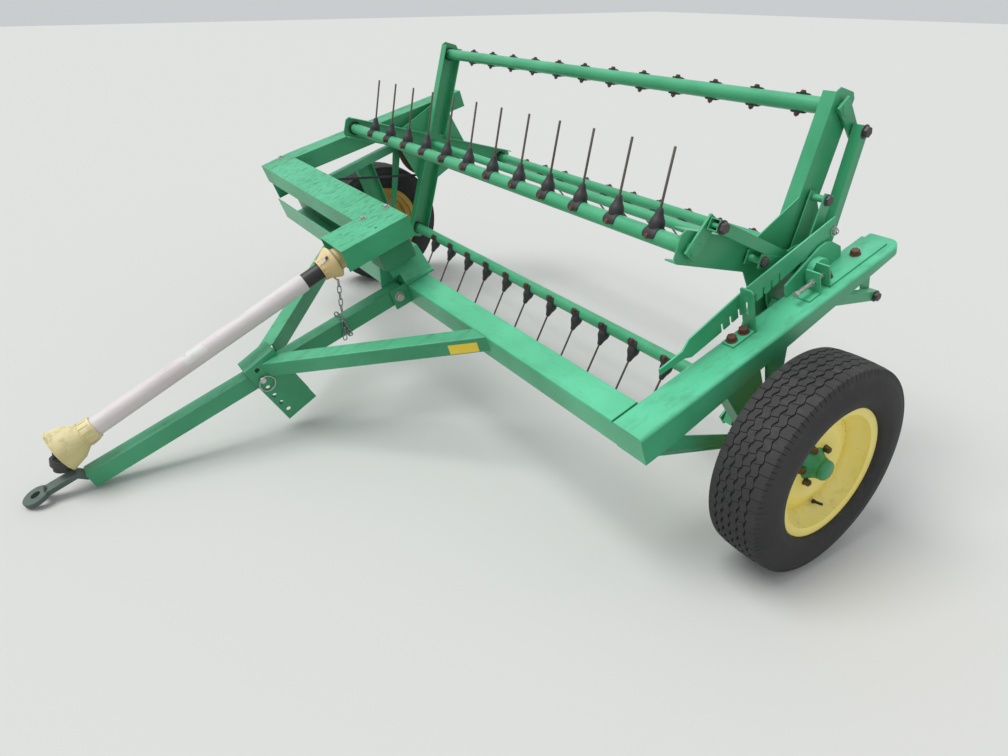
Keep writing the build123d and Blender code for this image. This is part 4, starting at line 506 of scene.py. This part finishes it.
bar_side.translation = Vector(DRAWBAR_AT) - Vector((EYE_BAR_WIDTH / 2, 0, 0))
cut_plate(hitch, bar_side, EYE_BAR, (), EYE_BAR_WIDTH)
eye_middle = Vector(DRAWBAR_AT) + along_bar * EYE_CENTRE[0] + above_bar * EYE_CENTRE[1]
turn_profile(hitch, EYE_RING, eye_middle, above_bar, 48)
place_piece(hitch, "hitch_ring", ring_steel, "frame", ("hitch_eye",), bevel=0.0012)
pin_zinc = coated("pin_zinc", (0.50, 0.49, 0.46), (0.62, 0.62, 0.60), grime=0.6, chips=0.6, rough=0.38, metal=0.9,
                  soil=(0.2, 0.15, 0.1))
PIN_AT = (-0.67694, -0.03636)
pin = bmesh.new()
add_disc(pin, (-0.1457, *PIN_AT), (1, 0, 0), 0.0095, 0.1150, 24, turn=0.1)
add_disc(pin, (-0.0307, *PIN_AT), (1, 0, 0), 0.0130, 0.0050, 24, 0.86)
turn_profile(pin, round_wire(0.0022, 0.0305), (-0.0275, PIN_AT[0] + 0.008, PIN_AT[1] - 0.020), (1, 0.05, 0.03), 36)
place_piece(pin, "height_pin_with_ring", pin_zinc, "frame", ("height_pin",), angle=50)
sticker_yellow = coated("sticker_yellow", (0.85, 0.62, 0.03), (0.92, 0.72, 0.08), grime=0.3, chips=0.0, rough=0.35)
STICKER_SIZE = (0.108, 0.040, 0.0007)
BRACE_FROM = Vector((0.555, 0.040, -0.03175))
BRACE_ALONG = (Vector((-0.10025, -0.672, -0.00675)) - BRACE_FROM).normalized()
brace_out = Vector((-BRACE_ALONG.y, BRACE_ALONG.x, 0)).normalized()
brace_up = BRACE_ALONG.cross(brace_out).normalized()
sticker = bmesh.new()
sticker_at = BRACE_FROM + BRACE_ALONG * 0.117 + brace_out * 0.0318 + brace_up * -0.006
bmesh.ops.create_cube(sticker, size=1.0, matrix=Matrix.Translation(sticker_at) @ Matrix(
    (BRACE_ALONG, brace_up, brace_out)).transposed().to_4x4() @ Matrix.Diagonal((*STICKER_SIZE, 1)))
place_piece(sticker, "blank_sticker", sticker_yellow, "frame")
pivot_bolt = bmesh.new()
add_bolt(pivot_bolt, (-0.04028, *DRAWBAR_AT[1:]), (1, 0, 0), 0.030, 0.0145, washer=0.0215, turn=0.3)
place_piece(pivot_bolt, "pivot_bolt", pin_zinc, "frame", bevel=0.0008)

# The gearbox: a right-angle box in a painted iron casting, on a bent plate, with its forked input
# shaft forwards.
finish_node("gearbox_mount", frame_green)
cast_green = coated("cast_green", (0.018, 0.17, 0.075), (0.050, 0.32, 0.160), grime=0.9, chips=0.5, rough=0.55)
finish_node("gearbox", cast_green)

# The belt drive: a cross shaft with a small pulley, a rubber V-belt and a large pulley on the reel
# shaft. Shaft and pulleys are machined steel and iron, keyed together and left unpainted.
rusty_steel = coated("rusty_steel", (0.10, 0.055, 0.03), (0.20, 0.13, 0.09), grime=0.4, chips=0.4, rough=0.65,
                     metal=0.4)
for node in ("drive_shaft", "drive_pulley", "driven_pulley"):
    finish_node(node, rusty_steel, bevel=0.0005)
belt_rubber = coated("belt_rubber", (0.03, 0.022, 0.04), (0.06, 0.05, 0.07), grime=0.3, chips=0.0, rough=0.7)
finish_node("v_belt", belt_rubber, bevel=0.0)

# The covers: folded sheet steel over the gearbox, the cross shaft and the belt, bolted down. Rain and
# tree litter have left dark mildew along their tops.
cover_green = coated("cover_green", (0.028, 0.30, 0.125), (0.090, 0.52, 0.280), grime=0.95, chips=0.45, rough=0.42,
                     grain=(2.4, 0.45, 2.4), soil=(0.012, 0.028, 0.018))
for node in ("gearbox_cover", "shaft_cover"):
    finish_node(node, cover_green, bevel=0.0018)
guard_green = coated("guard_green", (0.026, 0.28, 0.118), (0.080, 0.44, 0.225), grime=0.8, chips=0.35, rough=0.42,
                     grain=(1, 0.35, 1), soil=(0.012, 0.028, 0.018))
finish_node("belt_guard", guard_green, bevel=0.0018)
finish_node("guard_stands", frame_green)
COVER_BOLTS = ((-1.38, 0.054), (-0.167, 0.085), (-0.172, -0.021))
cover_bolts = bmesh.new()
for across, along in COVER_BOLTS:
    add_bolt(cover_bolts, (across, along, 0.2790), (0, 0, 1), 0.0165, 0.0085, washer=0.0155, turn=along * 9)
place_piece(cover_bolts, "cover_bolts", pin_zinc, "frame", bevel=0.0006)
# A thin black disc on the cover where a bolt is missing: painted shade that stands in for the dark inside of the
# empty hole.
hole_shade_disc = bmesh.new()
add_disc(hole_shade_disc, (-0.042, -0.026, 0.2788), (0, 0, 1), 0.0055, 0.0005, 16)
place_piece(hole_shade_disc, "cover_hole_painted_shade", valve_black, "frame")

# The reel: a through shaft, two four-armed spiders of folded plate and four steel tubes between them,
# all green. The spiders are fixed on the shaft, and the tubes can turn in their arms.
reel_green = coated("reel_green", (0.030, 0.31, 0.130), (0.095, 0.48, 0.250), grime=0.3, chips=0.35, rough=0.34)
for node in ("spider_left", "spider_right"):
    finish_node(node, reel_green, bevel=0.002)
tube_green = coated("tube_green", (0.030, 0.31, 0.130), (0.095, 0.48, 0.250), grime=0.3, chips=0.3, rough=0.32,
                    grain=(0.3, 1, 1))
finish_node("reel_shaft", tube_green, bevel=0.0)
for word in ("top", "front", "bottom", "rear"):
    finish_node("tine_bar_" + word, tube_green, bevel=0.0)

# The bar bearings: a dark plastic ring in each spider arm, moulded in one piece and pressed into its
# hole. The bar's end turns in it.
BAR_CIRCLE = 0.473
BAR_ANGLES = {"top": 56.1, "front": 146.1, "bottom": 236.1, "rear": 326.1}
COLLAR = [(0.0, 0.0262), (0.0, 0.0310), (0.0020, 0.0325), (0.0130, 0.0325), (0.0150, 0.0300), (0.0150, 0.0262)]


def around_reel(distance, degrees):
    """Place beside the reel's shaft, rearwards and up, at a distance and direction from it."""
    turn = math.radians(degrees)
    return (REEL[0] + distance * math.cos(turn), REEL[1] + distance * math.sin(turn))


collar_black = coated("collar_black", (0.012, 0.012, 0.013), (0.03, 0.03, 0.03), grime=0.5, chips=0.0, rough=0.5,
                      soil=(0.09, 0.07, 0.05))
collars = bmesh.new()
for degrees in BAR_ANGLES.values():
    bar = around_reel(BAR_CIRCLE, degrees)
    turn_profile(collars, COLLAR, (1.1302, *bar), (-1, 0, 0), 40)
    turn_profile(collars, COLLAR, (-1.2392, *bar), (1, 0, 0), 40)
place_piece(collars, "bar_bearings", collar_black, "reel", angle=40)

# The tines: single spring-steel fingers, each bedded in a black rubber boot whose saddle is clamped
# round its bar by a bolt through the tube.
CRANK_ANGLES = {"top": -67.62, "front": 33.43, "bottom": 197.58, "rear": 268.33}
TINE_LEADS = {"top": 35, "front": 27, "bottom": 27, "rear": 27}
FIRST_TINE = 0.990
TINE_PITCH = 0.180
TINES_PER_BAR = 12
SADDLE = [
    (-0.0208, 0.0256), (-0.0222, 0.0262), (-0.0226, 0.0280), (-0.0210, 0.0296), (-0.0180, 0.0304), (0.0180, 0.0304),
    (0.0210, 0.0296), (0.0226, 0.0280), (0.0222, 0.0262), (0.0208, 0.0256),
]
BOOT_BODY = [
    (0.0225, 0.0), (0.0225, 0.0236), (0.0300, 0.0246), (0.0390, 0.0243), (0.0460, 0.0226), (0.0520, 0.0196),
    (0.0580, 0.0164), (0.0640, 0.0138), (0.0710, 0.0116), (0.0790, 0.0095), (0.0830, 0.0074), (0.0840, 0.0046),
    (0.0840, 0.0),
]
FINGER = [(0.050, 0.0), (0.050, 0.0041), (0.2560, 0.0041), (0.2580, 0.0026), (0.2580, 0.0)]


def form_of(mesh, name):
    """Keeps a drawn shape as a pattern to lay copies of."""
    bmesh.ops.recalc_face_normals(mesh, faces=mesh.faces)
    data = bpy.data.meshes.new(name)
    mesh.to_mesh(data)
    mesh.free()
    return data


def lay_copies(form, places):
    """One mesh with a copy of the pattern at each place."""
    mesh = bmesh.new()
    for place in places:
        before = len(mesh.verts)
        mesh.from_mesh(form)
        mesh.verts.ensure_lookup_table()
        bmesh.ops.transform(mesh, matrix=place, verts=mesh.verts[before:])
    return mesh


boot = bmesh.new()
turn_profile(boot, SADDLE, (0, 0, 0), (1, 0, 0), 26, angle=math.radians(204))
bmesh.ops.holes_fill(boot, edges=[edge for edge in boot.edges if edge.is_boundary], sides=0)
middle_turn = Vector((0, sum(vert.co.y for vert in boot.verts), sum(vert.co.z for vert in boot.verts)))
bmesh.ops.rotate(boot, verts=boot.verts, cent=(0, 0, 0),
                 matrix=Matrix.Rotation(-math.atan2(middle_turn.z, middle_turn.y), 3, "X"))
for vert in boot.verts:
    lean = abs(math.atan2(vert.co.z, vert.co.y)) / math.radians(102)
    vert.co.x *= 1.02 + 0.36 * lean * lean * (1.5 - lean) - max(0.0, lean - 0.78)
turn_profile(boot, BOOT_BODY, (0, 0, 0), (0, 1, 0), 28, closed=False)
boot_form = form_of(boot, "boot_form")
finger = bmesh.new()
turn_profile(finger, FINGER, (0, 0, 0), (0, 1, 0), 12, closed=False)
finger_form = form_of(finger, "finger_form")
clamp = bmesh.new()
add_bolt(clamp, (0, 0, 0.0300), (0, 0, 1), 0.0135, 0.0050, washer=0.0096)
add_bolt(clamp, (0, 0, -0.0300), (0, 0, -1), 0.0135, 0.0060, washer=0.0096, thread=0.003, turn=0.4)
clamp_form = form_of(clamp, "clamp_form")
bolt_rust = coated("bolt_rust", (0.11, 0.042, 0.026), (0.22, 0.10, 0.065), grime=0.4, chips=0.5, rough=0.65,
                   metal=0.3, bare=(0.06, 0.03, 0.02))
boot_rubber = coated("boot_rubber", (0.016, 0.016, 0.018), (0.042, 0.041, 0.044), grime=0.55, chips=0.0, rough=0.55,
                     soil=(0.12, 0.10, 0.09), bump=0.4)
tine_steel = coated("tine_steel", (0.085, 0.07, 0.055), (0.17, 0.15, 0.12), grime=0.4, chips=0.5, rough=0.5,
                    metal=0.5, bare=(0.14, 0.05, 0.02))
for word, lead in TINE_LEADS.items():
    bar = around_reel(BAR_CIRCLE, BAR_ANGLES[word])
    slant = Matrix.Rotation(math.radians(CRANK_ANGLES[word] + lead), 4, "X")
    places = [Matrix.Translation((FIRST_TINE - TINE_PITCH * n, *bar)) @ slant for n in range(TINES_PER_BAR)]
    place_piece(lay_copies(boot_form, places), "boots_" + word, boot_rubber, "reel",
                ("tines_" + word,), angle=45)
    place_piece(lay_copies(finger_form, places), "tine_fingers_" + word, tine_steel, "reel", angle=45)
    place_piece(lay_copies(clamp_form, places), "boot_bolts_" + word, bolt_rust, "reel")

# The feathering gear at the reel's left end: an eccentric hub, four square-tube links and four cranks.
# It keeps the tines at their slant all the way round. Pins with washers and nuts join it.
CRANK_LENGTH = 0.085
LINK_FACE = 1.194
STAY_FACE = 1.1993
HUB_CENTRE = (REEL[0], REEL[1] - 0.068)
HUB_CIRCLE = 0.100
HUB_LAG = 42.5
STAY_CIRCLE = 0.210
for node in ("cranks", "links", "eccentric_hub", "hub_stays"):
    finish_node(node, reel_green)
pin_dark = coated("pin_dark", (0.060, 0.055, 0.052), (0.170, 0.165, 0.160), grime=0.5, chips=0.5, rough=0.5,
                  metal=0.5, bare=(0.12, 0.045, 0.02))
gear_pins = bmesh.new()
for word, degrees in CRANK_ANGLES.items():
    bar = around_reel(BAR_CIRCLE, BAR_ANGLES[word])
    lean = math.radians(degrees)
    crank_pin = (bar[0] + CRANK_LENGTH * math.cos(lean), bar[1] + CRANK_LENGTH * math.sin(lean))
    add_bolt(gear_pins, (LINK_FACE, *crank_pin), (1, 0, 0), 0.0300, 0.0125, washer=0.0215, turn=degrees)
    add_disc(gear_pins, (1.1458, *crank_pin), (-1, 0, 0), 0.0135, 0.0060, 24, 0.9)
    add_disc(gear_pins, (1.1541, *crank_pin), (1, 0, 0), 0.0150, 0.0048, 24)
    inner = math.radians(BAR_ANGLES[word] - HUB_LAG)
    hub_pin = (HUB_CENTRE[0] + HUB_CIRCLE * math.cos(inner), HUB_CENTRE[1] + HUB_CIRCLE * math.sin(inner))
    add_bolt(gear_pins, (LINK_FACE, *hub_pin), (1, 0, 0), 0.0270, 0.0100, washer=0.0190, turn=degrees + 1)
    tip = around_reel(STAY_CIRCLE, BAR_ANGLES[word])
    add_bolt(gear_pins, (STAY_FACE, *tip), (1, 0, 0), 0.0280, 0.0085, washer=0.0180, turn=degrees + 2)
    add_disc(gear_pins, (1.1448, *tip), (-1, 0, 0), 0.0175, 0.0050, 24, 0.85)
place_piece(gear_pins, "gear_pins", pin_dark, "reel", bevel=0.0008)
WELD_RING = [(-0.0005, 0.0170), (0.0016, 0.0178), (0.0022, 0.0200), (0.0014, 0.0222), (-0.0005, 0.0235)]
stub_rings = bmesh.new()
for degrees in BAR_ANGLES.values():
    turn_profile(stub_rings, WELD_RING, (1.154, *around_reel(BAR_CIRCLE, degrees)), (1, 0, 0), 40)
place_piece(stub_rings, "crank_welds", reel_green, "reel", angle=50)

# The reel's bearings, the belt adjuster and the pitch lever, cut and bent from plate, then bolted to
# the side beam and the rail. The left bearing's foot slides when the adjuster's bolt is turned.
for node in ("bearing_right", "belt_adjuster", "pitch_lever"):
    finish_node(node, side_green)
FOOT_TOP = 0.006
BEARING_FACE = 1.2307
BEARING_PLATE = 0.008
BEARING_RADIUS = 0.130
BEARING_BORE = 0.0215
ARC_STEPS = 28
BORE_STEPS = 24
BEARING_TOP = [(0.928, 0.080), (0.900, 0.093), (0.868, 0.093), (0.832, 0.082)]
HOUSING = [
    (0.0130, 0.0), (0.0130, 0.0215), (-0.001, 0.0215), (-0.001, 0.046), (0.0210, 0.046), (0.0230, 0.044),
    (0.0230, 0.0),
]
GUIDE_AT = (1.2317, 0.522, 0)
GUIDE = [(0, 0), (0.046, 0), (0.046, 0.138), (0.040, 0.146), (0.004, 0.146), (0, 0.142)]
GUIDE_SLOT = [(0.014, 0.060), (0.026, 0.060), (0.026, 0.128), (0.014, 0.128)]


def add_block(mesh, low, high):
    """A flat bar or plate between two corners."""
    low, high = Vector(low), Vector(high)
    bmesh.ops.create_cube(mesh, size=1.0, matrix=Matrix.LocRotScale((low + high) / 2, None, high - low))


bearing = bmesh.new()
upright_side = Matrix(((0, 0, 1), (1, 0, 0), (0, 1, 0))).to_4x4()
upright_side.translation = (BEARING_FACE, 0, 0)
bearing_edge = [around_reel(BEARING_RADIUS, -188 + 196 * n / ARC_STEPS) for n in range(ARC_STEPS + 1)]
bearing_bore = [around_reel(BEARING_BORE, 360 * n / BORE_STEPS) for n in range(BORE_STEPS)]
cut_plate(bearing, upright_side, bearing_edge + BEARING_TOP, [bearing_bore], BEARING_PLATE)
turn_profile(bearing, HOUSING, (BEARING_FACE + BEARING_PLATE, *REEL), (1, 0, 0), 40, closed=False)
add_block(bearing, (1.2217, 0.815, 0), (1.3097, 1.095, FOOT_TOP))
add_block(bearing, (1.2617, 0.815, 0), (1.3097, 0.821, 0.076))
place_piece(bearing, "bearing_left_plate", side_green, "frame", ("bearing_left",), bevel=0.0012)
guide = bmesh.new()
facing_front = Matrix(((1, 0, 0), (0, 0, 1), (0, 1, 0))).to_4x4()
facing_front.translation = GUIDE_AT
cut_plate(guide, facing_front, GUIDE, [GUIDE_SLOT], FOOT_TOP)
add_block(guide, (GUIDE_AT[0], 0.430, 0), (1.2757, GUIDE_AT[1] + FOOT_TOP, FOOT_TOP))
place_piece(guide, "lever_guide", side_green, "frame", ("lever_bracket",), bevel=0.0008)
FOOT_BOLTS = ((1.268, 0.996, 0.2), (1.274, 0.852, 0.7), (1.2510, 0.452, 0.4), (1.2530, 0.501, 0.9))
foot_bolts = bmesh.new()
for across, along, turn in FOOT_BOLTS:
    add_bolt(foot_bolts, (across, along, FOOT_TOP), (0, 0, 1), 0.0260, 0.0150, washer=0.0175, turn=turn)
place_piece(foot_bolts, "foot_bolts", bolt_rust, "frame", bevel=0.0008)
ADJUSTER = (1.2857, 0.038)
THREAD_TURNS = 44
THREAD_PITCH = 0.0024
adjuster_bolt = bmesh.new()
for along, across, height in ((0.698, 0.0210, 0.0088), (0.7700, 0.0210, 0.0105)):
    add_bolt(adjuster_bolt, (ADJUSTER[0], along, ADJUSTER[1]), (0, -1, 0), across, height, turn=0.5)
add_disc(adjuster_bolt, (ADJUSTER[0], 0.8148, ADJUSTER[1]), (0, -1, 0), 0.0064, 0.1170, 20)
for n in range(THREAD_TURNS):
    add_disc(adjuster_bolt, (ADJUSTER[0], 0.8120 - THREAD_PITCH * n, ADJUSTER[1]), (0, -1, 0), 0.0071, 0.0010, 16)
place_piece(adjuster_bolt, "adjuster_bolt", pin_zinc, "frame", bevel=0.0004)
lever_bolt = bmesh.new()
add_bolt(lever_bolt, (1.2270, 0.945, 0.106), (1, 0, 0), 0.0210, 0.0100, washer=0.0160, thread=0.004)
place_piece(lever_bolt, "lever_bolt", pin_zinc, "frame", bevel=0.0008)

# The driveline: a forged joint at each end under a moulded plastic cone, and two plastic shield tubes
# between them that slide in each other. The front yoke fits a tractor's shaft.
shield_yellow = coated("shield_yellow", (0.60, 0.42, 0.16), (0.84, 0.68, 0.40), grime=0.8, chips=0.0, rough=0.6,
                       soil=(0.16, 0.11, 0.06))
shield_olive = coated("shield_olive", (0.56, 0.46, 0.19), (0.84, 0.75, 0.43), grime=0.9, chips=0.0, rough=0.65,
                      soil=(0.26, 0.23, 0.12), bump=0.5)
shield_finish = {"rear": shield_yellow, "front": shield_olive}
shield_body = {"rear": "driveline_inner", "front": "driveline_outer"}
for word, finish in shield_finish.items():
    finish_node(word + "_shield", finish, bevel=0.0006, angle=50)
JOINT_AT = Vector((-0.105, -0.185, 0.216))
DROOP = math.radians(6)
forwards = Vector((0, -math.cos(DROOP), -math.sin(DROOP)))
upwards = Vector((0, -math.sin(DROOP), math.cos(DROOP)))


def on_shield(along, radius, degrees):
    """Level place beside the driveline: along it from its rear joint, out, and turned from its left side."""
    turn = math.radians(degrees)
    across = Vector((1, 0, 0)) * radius * math.cos(turn)
    return JOINT_AT + forwards * along + across + upwards * radius * math.sin(turn)


def shield_frame(along, radius, degrees, tilt=0.0):
    """Place on a shield: Z outwards from it, Y along it, tilted where the cone narrows."""
    spot = on_shield(along, radius, degrees)
    out = (spot - on_shield(along, 0, 0)).normalized()
    out = (out * math.cos(tilt) + forwards * math.sin(tilt)).normalized()
    side = forwards.cross(out).normalized()
    lie = out.cross(side)
    return Matrix.Translation(spot) @ Matrix((side, lie, out)).transposed().to_4x4()


def add_plate(mesh, place, width, length, height, corner=0.25):
    """A thin plate with clipped corners, lying on its place."""
    made = bmesh.ops.create_cube(mesh, size=1.0, matrix=place @ Matrix.Translation((0, 0, height / 2))
                                 @ Matrix.Diagonal((width, length, height, 1)))["verts"]
    upright = []
    for edge in dict.fromkeys(edge for vert in made for edge in vert.link_edges):
        run = (place.inverted() @ edge.verts[1].co) - (place.inverted() @ edge.verts[0].co)
        if abs(run.z) > height * 0.5:
            upright.append(edge)
    bmesh.ops.bevel(mesh, geom=upright, offset=corner * min(width, length), affect="EDGES", segments=4, profile=0.5,
                    material=-1)


ribs = {"rear": (0.0790, 0.0435, 0.026, 14, 0.19), "front": (1.0860, 0.0420, 0.036, 12, -0.05)}
for word, (along, radius, length, count, tilt) in ribs.items():
    fluting = bmesh.new()
    for k in range(count):
        add_plate(fluting, shield_frame(along, radius - 0.0015, 360 * k / count, tilt), 0.0075, length, 0.0036)
    place_piece(fluting, word + "_shield_ribs", shield_finish[word], shield_body[word], bevel=0.0007)
rings = {"rear": (0.0915, 0.0408, 0.0030), "front": (1.1060, 0.0437, 0.0030)}
for word, (along, radius, wire) in rings.items():
    ring = bmesh.new()
    turn_profile(ring, round_wire(wire, radius), on_shield(along, 0, 0), forwards, 48)
    place_piece(ring, word + "_shield_ring", shield_finish[word], shield_body[word], angle=60)
LIP = [(1.1935, 0.0800), (1.1950, 0.0816), (1.1985, 0.0816), (1.1995, 0.0790), (1.1990, 0.0756), (1.1935, 0.0758)]
mouth = bmesh.new()
turn_profile(mouth, LIP, JOINT_AT, forwards, 64)
place_piece(mouth, "front_shield_lip", shield_olive, "driveline_outer", angle=60)
tag_white = coated("tag_white", (0.62, 0.62, 0.60), (0.74, 0.74, 0.72), grime=0.6, chips=0.0, rough=0.5,
                   soil=(0.25, 0.23, 0.2))
tags = {"rear": (0.0690, 0.0500, 51, 0.55, 0.011, 0.024), "front": (1.0890, 0.0448, 300, -0.1, 0.013, 0.030)}
for word, (along, radius, degrees, tilt, width, length) in tags.items():
    tag = bmesh.new()
    add_plate(tag, shield_frame(along, radius, degrees, tilt), width, length, 0.0022, 0.4)
    place_piece(tag, word + "_shield_tag", tag_white, shield_body[word], bevel=0.0005)
LABEL = [(0.600, 0.0351), (0.600, 0.0355), (0.690, 0.0355), (0.690, 0.0351)]
tube_label = bmesh.new()
turn_profile(tube_label, LABEL, JOINT_AT, forwards, 18, angle=math.radians(78))
bmesh.ops.holes_fill(tube_label, edges=[edge for edge in tube_label.edges if edge.is_boundary], sides=0)
label_middle = sum((vert.co for vert in tube_label.verts), Vector()) / len(tube_label.verts) - on_shield(0.645, 0, 0)
label_turn = math.atan2(label_middle.dot(upwards), label_middle.x)
bmesh.ops.rotate(tube_label, verts=tube_label.verts, cent=JOINT_AT,
                 matrix=Matrix.Rotation(math.radians(48) - label_turn, 3, forwards))
place_piece(tube_label, "tube_label", tag_white, "driveline_outer", angle=60)
clip = bmesh.new()
add_plate(clip, shield_frame(0.0540, 0.0585, 51, 0.65), 0.010, 0.015, 0.0030, 0.2)
place_piece(clip, "rear_shield_clip", pin_dark, "driveline_inner", bevel=0.0005)
tube_black = coated("tube_black", (0.012, 0.012, 0.013), (0.03, 0.03, 0.03), grime=0.4, chips=0.0, rough=0.45)
finish_node("inner_tube", tube_black, bevel=0.0)
tube_pale = coated("tube_pale", (0.60, 0.53, 0.53), (0.74, 0.69, 0.69), grime=0.4, chips=0.0, rough=0.5,
                   grain=(1, 0.2, 0.4), soil=(0.30, 0.25, 0.24))
finish_node("outer_tube", tube_pale, bevel=0.0)
cast_iron = coated("cast_iron", (0.03, 0.035, 0.033), (0.06, 0.065, 0.06), grime=0.4, chips=0.3, rough=0.6)
for node in ("cross_joint", "front_fork", "front_yoke"):
    finish_node(node, cast_iron, bevel=0.0006)

# The shield chain: short welded links of galvanised wire that keep the shields from turning. It hangs
# from a peg on the rear cone, and its lower end takes a turn round the drawbar and dangles beside it.
LINK_PITCH = 0.0265
LINK_WIRE = 0.0022
LINK_HALF_WIDTH = 0.0072
DRAWBAR_HALF = 0.03175
CHAIN_PEG = (-0.060, -0.24257, 0.15487)
TURN_AT = 0.248
SIDE_STEPS = 60


def beside_drawbar(across, along, lift):
    """Level place beside the drawbar: across it, forwards from its pivot and up from its middle."""
    return Vector((
        DRAWBAR_AT[0] + across,
        DRAWBAR_AT[1] - along * math.cos(BAR_DROOP) - lift * math.sin(BAR_DROOP),
        DRAWBAR_AT[2] - along * math.sin(BAR_DROOP) + lift * math.cos(BAR_DROOP),
    ))


link = bmesh.new()
turn_profile(link, round_wire(LINK_WIRE, LINK_HALF_WIDTH), (0, 0, 0), (1, 0, 0), 20)
bmesh.ops.rotate(link, verts=link.verts, cent=(0, 0, 0), matrix=Matrix.Rotation(math.tau / 40, 3, "X"))
straight = LINK_PITCH / 2 + LINK_WIRE * 1.9 - LINK_HALF_WIDTH - LINK_WIRE
for vert in link.verts:
    vert.co.z += math.copysign(straight, vert.co.z)
link_form = form_of(link, "link_form")


def string_links(joints, first=0):
    """Places of the links between a row of joints, each turned a quarter from the one before."""
    places = []
    for n, (start, stop) in enumerate(zip(joints, joints[1:])):
        run = stop - start
        place = facing((start + stop) / 2, run)
        places.append(place @ Matrix.Rotation(math.radians(90 * ((n + first) % 2)), 4, "Z"))
    return places


plumb = Vector((0, -math.sin(nose_down), -math.cos(nose_down)))
galvanised = coated("galvanised", (0.24, 0.24, 0.24), (0.42, 0.42, 0.41), grime=0.6, chips=0.3, rough=0.42, metal=0.8)
peg_top = Vector(CHAIN_PEG) - plumb * 0.0038
hanging = string_links([peg_top + plumb * LINK_PITCH * n for n in range(6)])
place_piece(lay_copies(link_form, hanging), "shield_chain_hanging", galvanised, "driveline_inner",
            ("chain_hang",), angle=60)
wrap = DRAWBAR_HALF + LINK_HALF_WIDTH * 0.5 + LINK_WIRE
corners = [(0, wrap), (wrap + 0.004, wrap + 0.002), (wrap + 0.004, -wrap - 0.006), (-wrap - 0.004, -wrap - 0.006),
           (-wrap - 0.004, wrap + 0.002), (0, wrap)]
turn_joints = []
for first, last in zip(corners, corners[1:]):
    for step in range(SIDE_STEPS):
        share = step / SIDE_STEPS
        spot = beside_drawbar(first[0] + (last[0] - first[0]) * share, TURN_AT,
                              first[1] + (last[1] - first[1]) * share)
        if not turn_joints or (spot - turn_joints[-1]).length >= LINK_PITCH:
            turn_joints.append(spot)
hook = beside_drawbar(wrap + 0.002, TURN_AT + 0.003, DRAWBAR_HALF)
tail = [hook + plumb * LINK_PITCH * n for n in range(4)]
turned_links = string_links(turn_joints) + string_links(tail, 1)
place_piece(lay_copies(link_form, turned_links), "shield_chain_turn", galvanised, "frame",
            ("chain_turn",), angle=60)
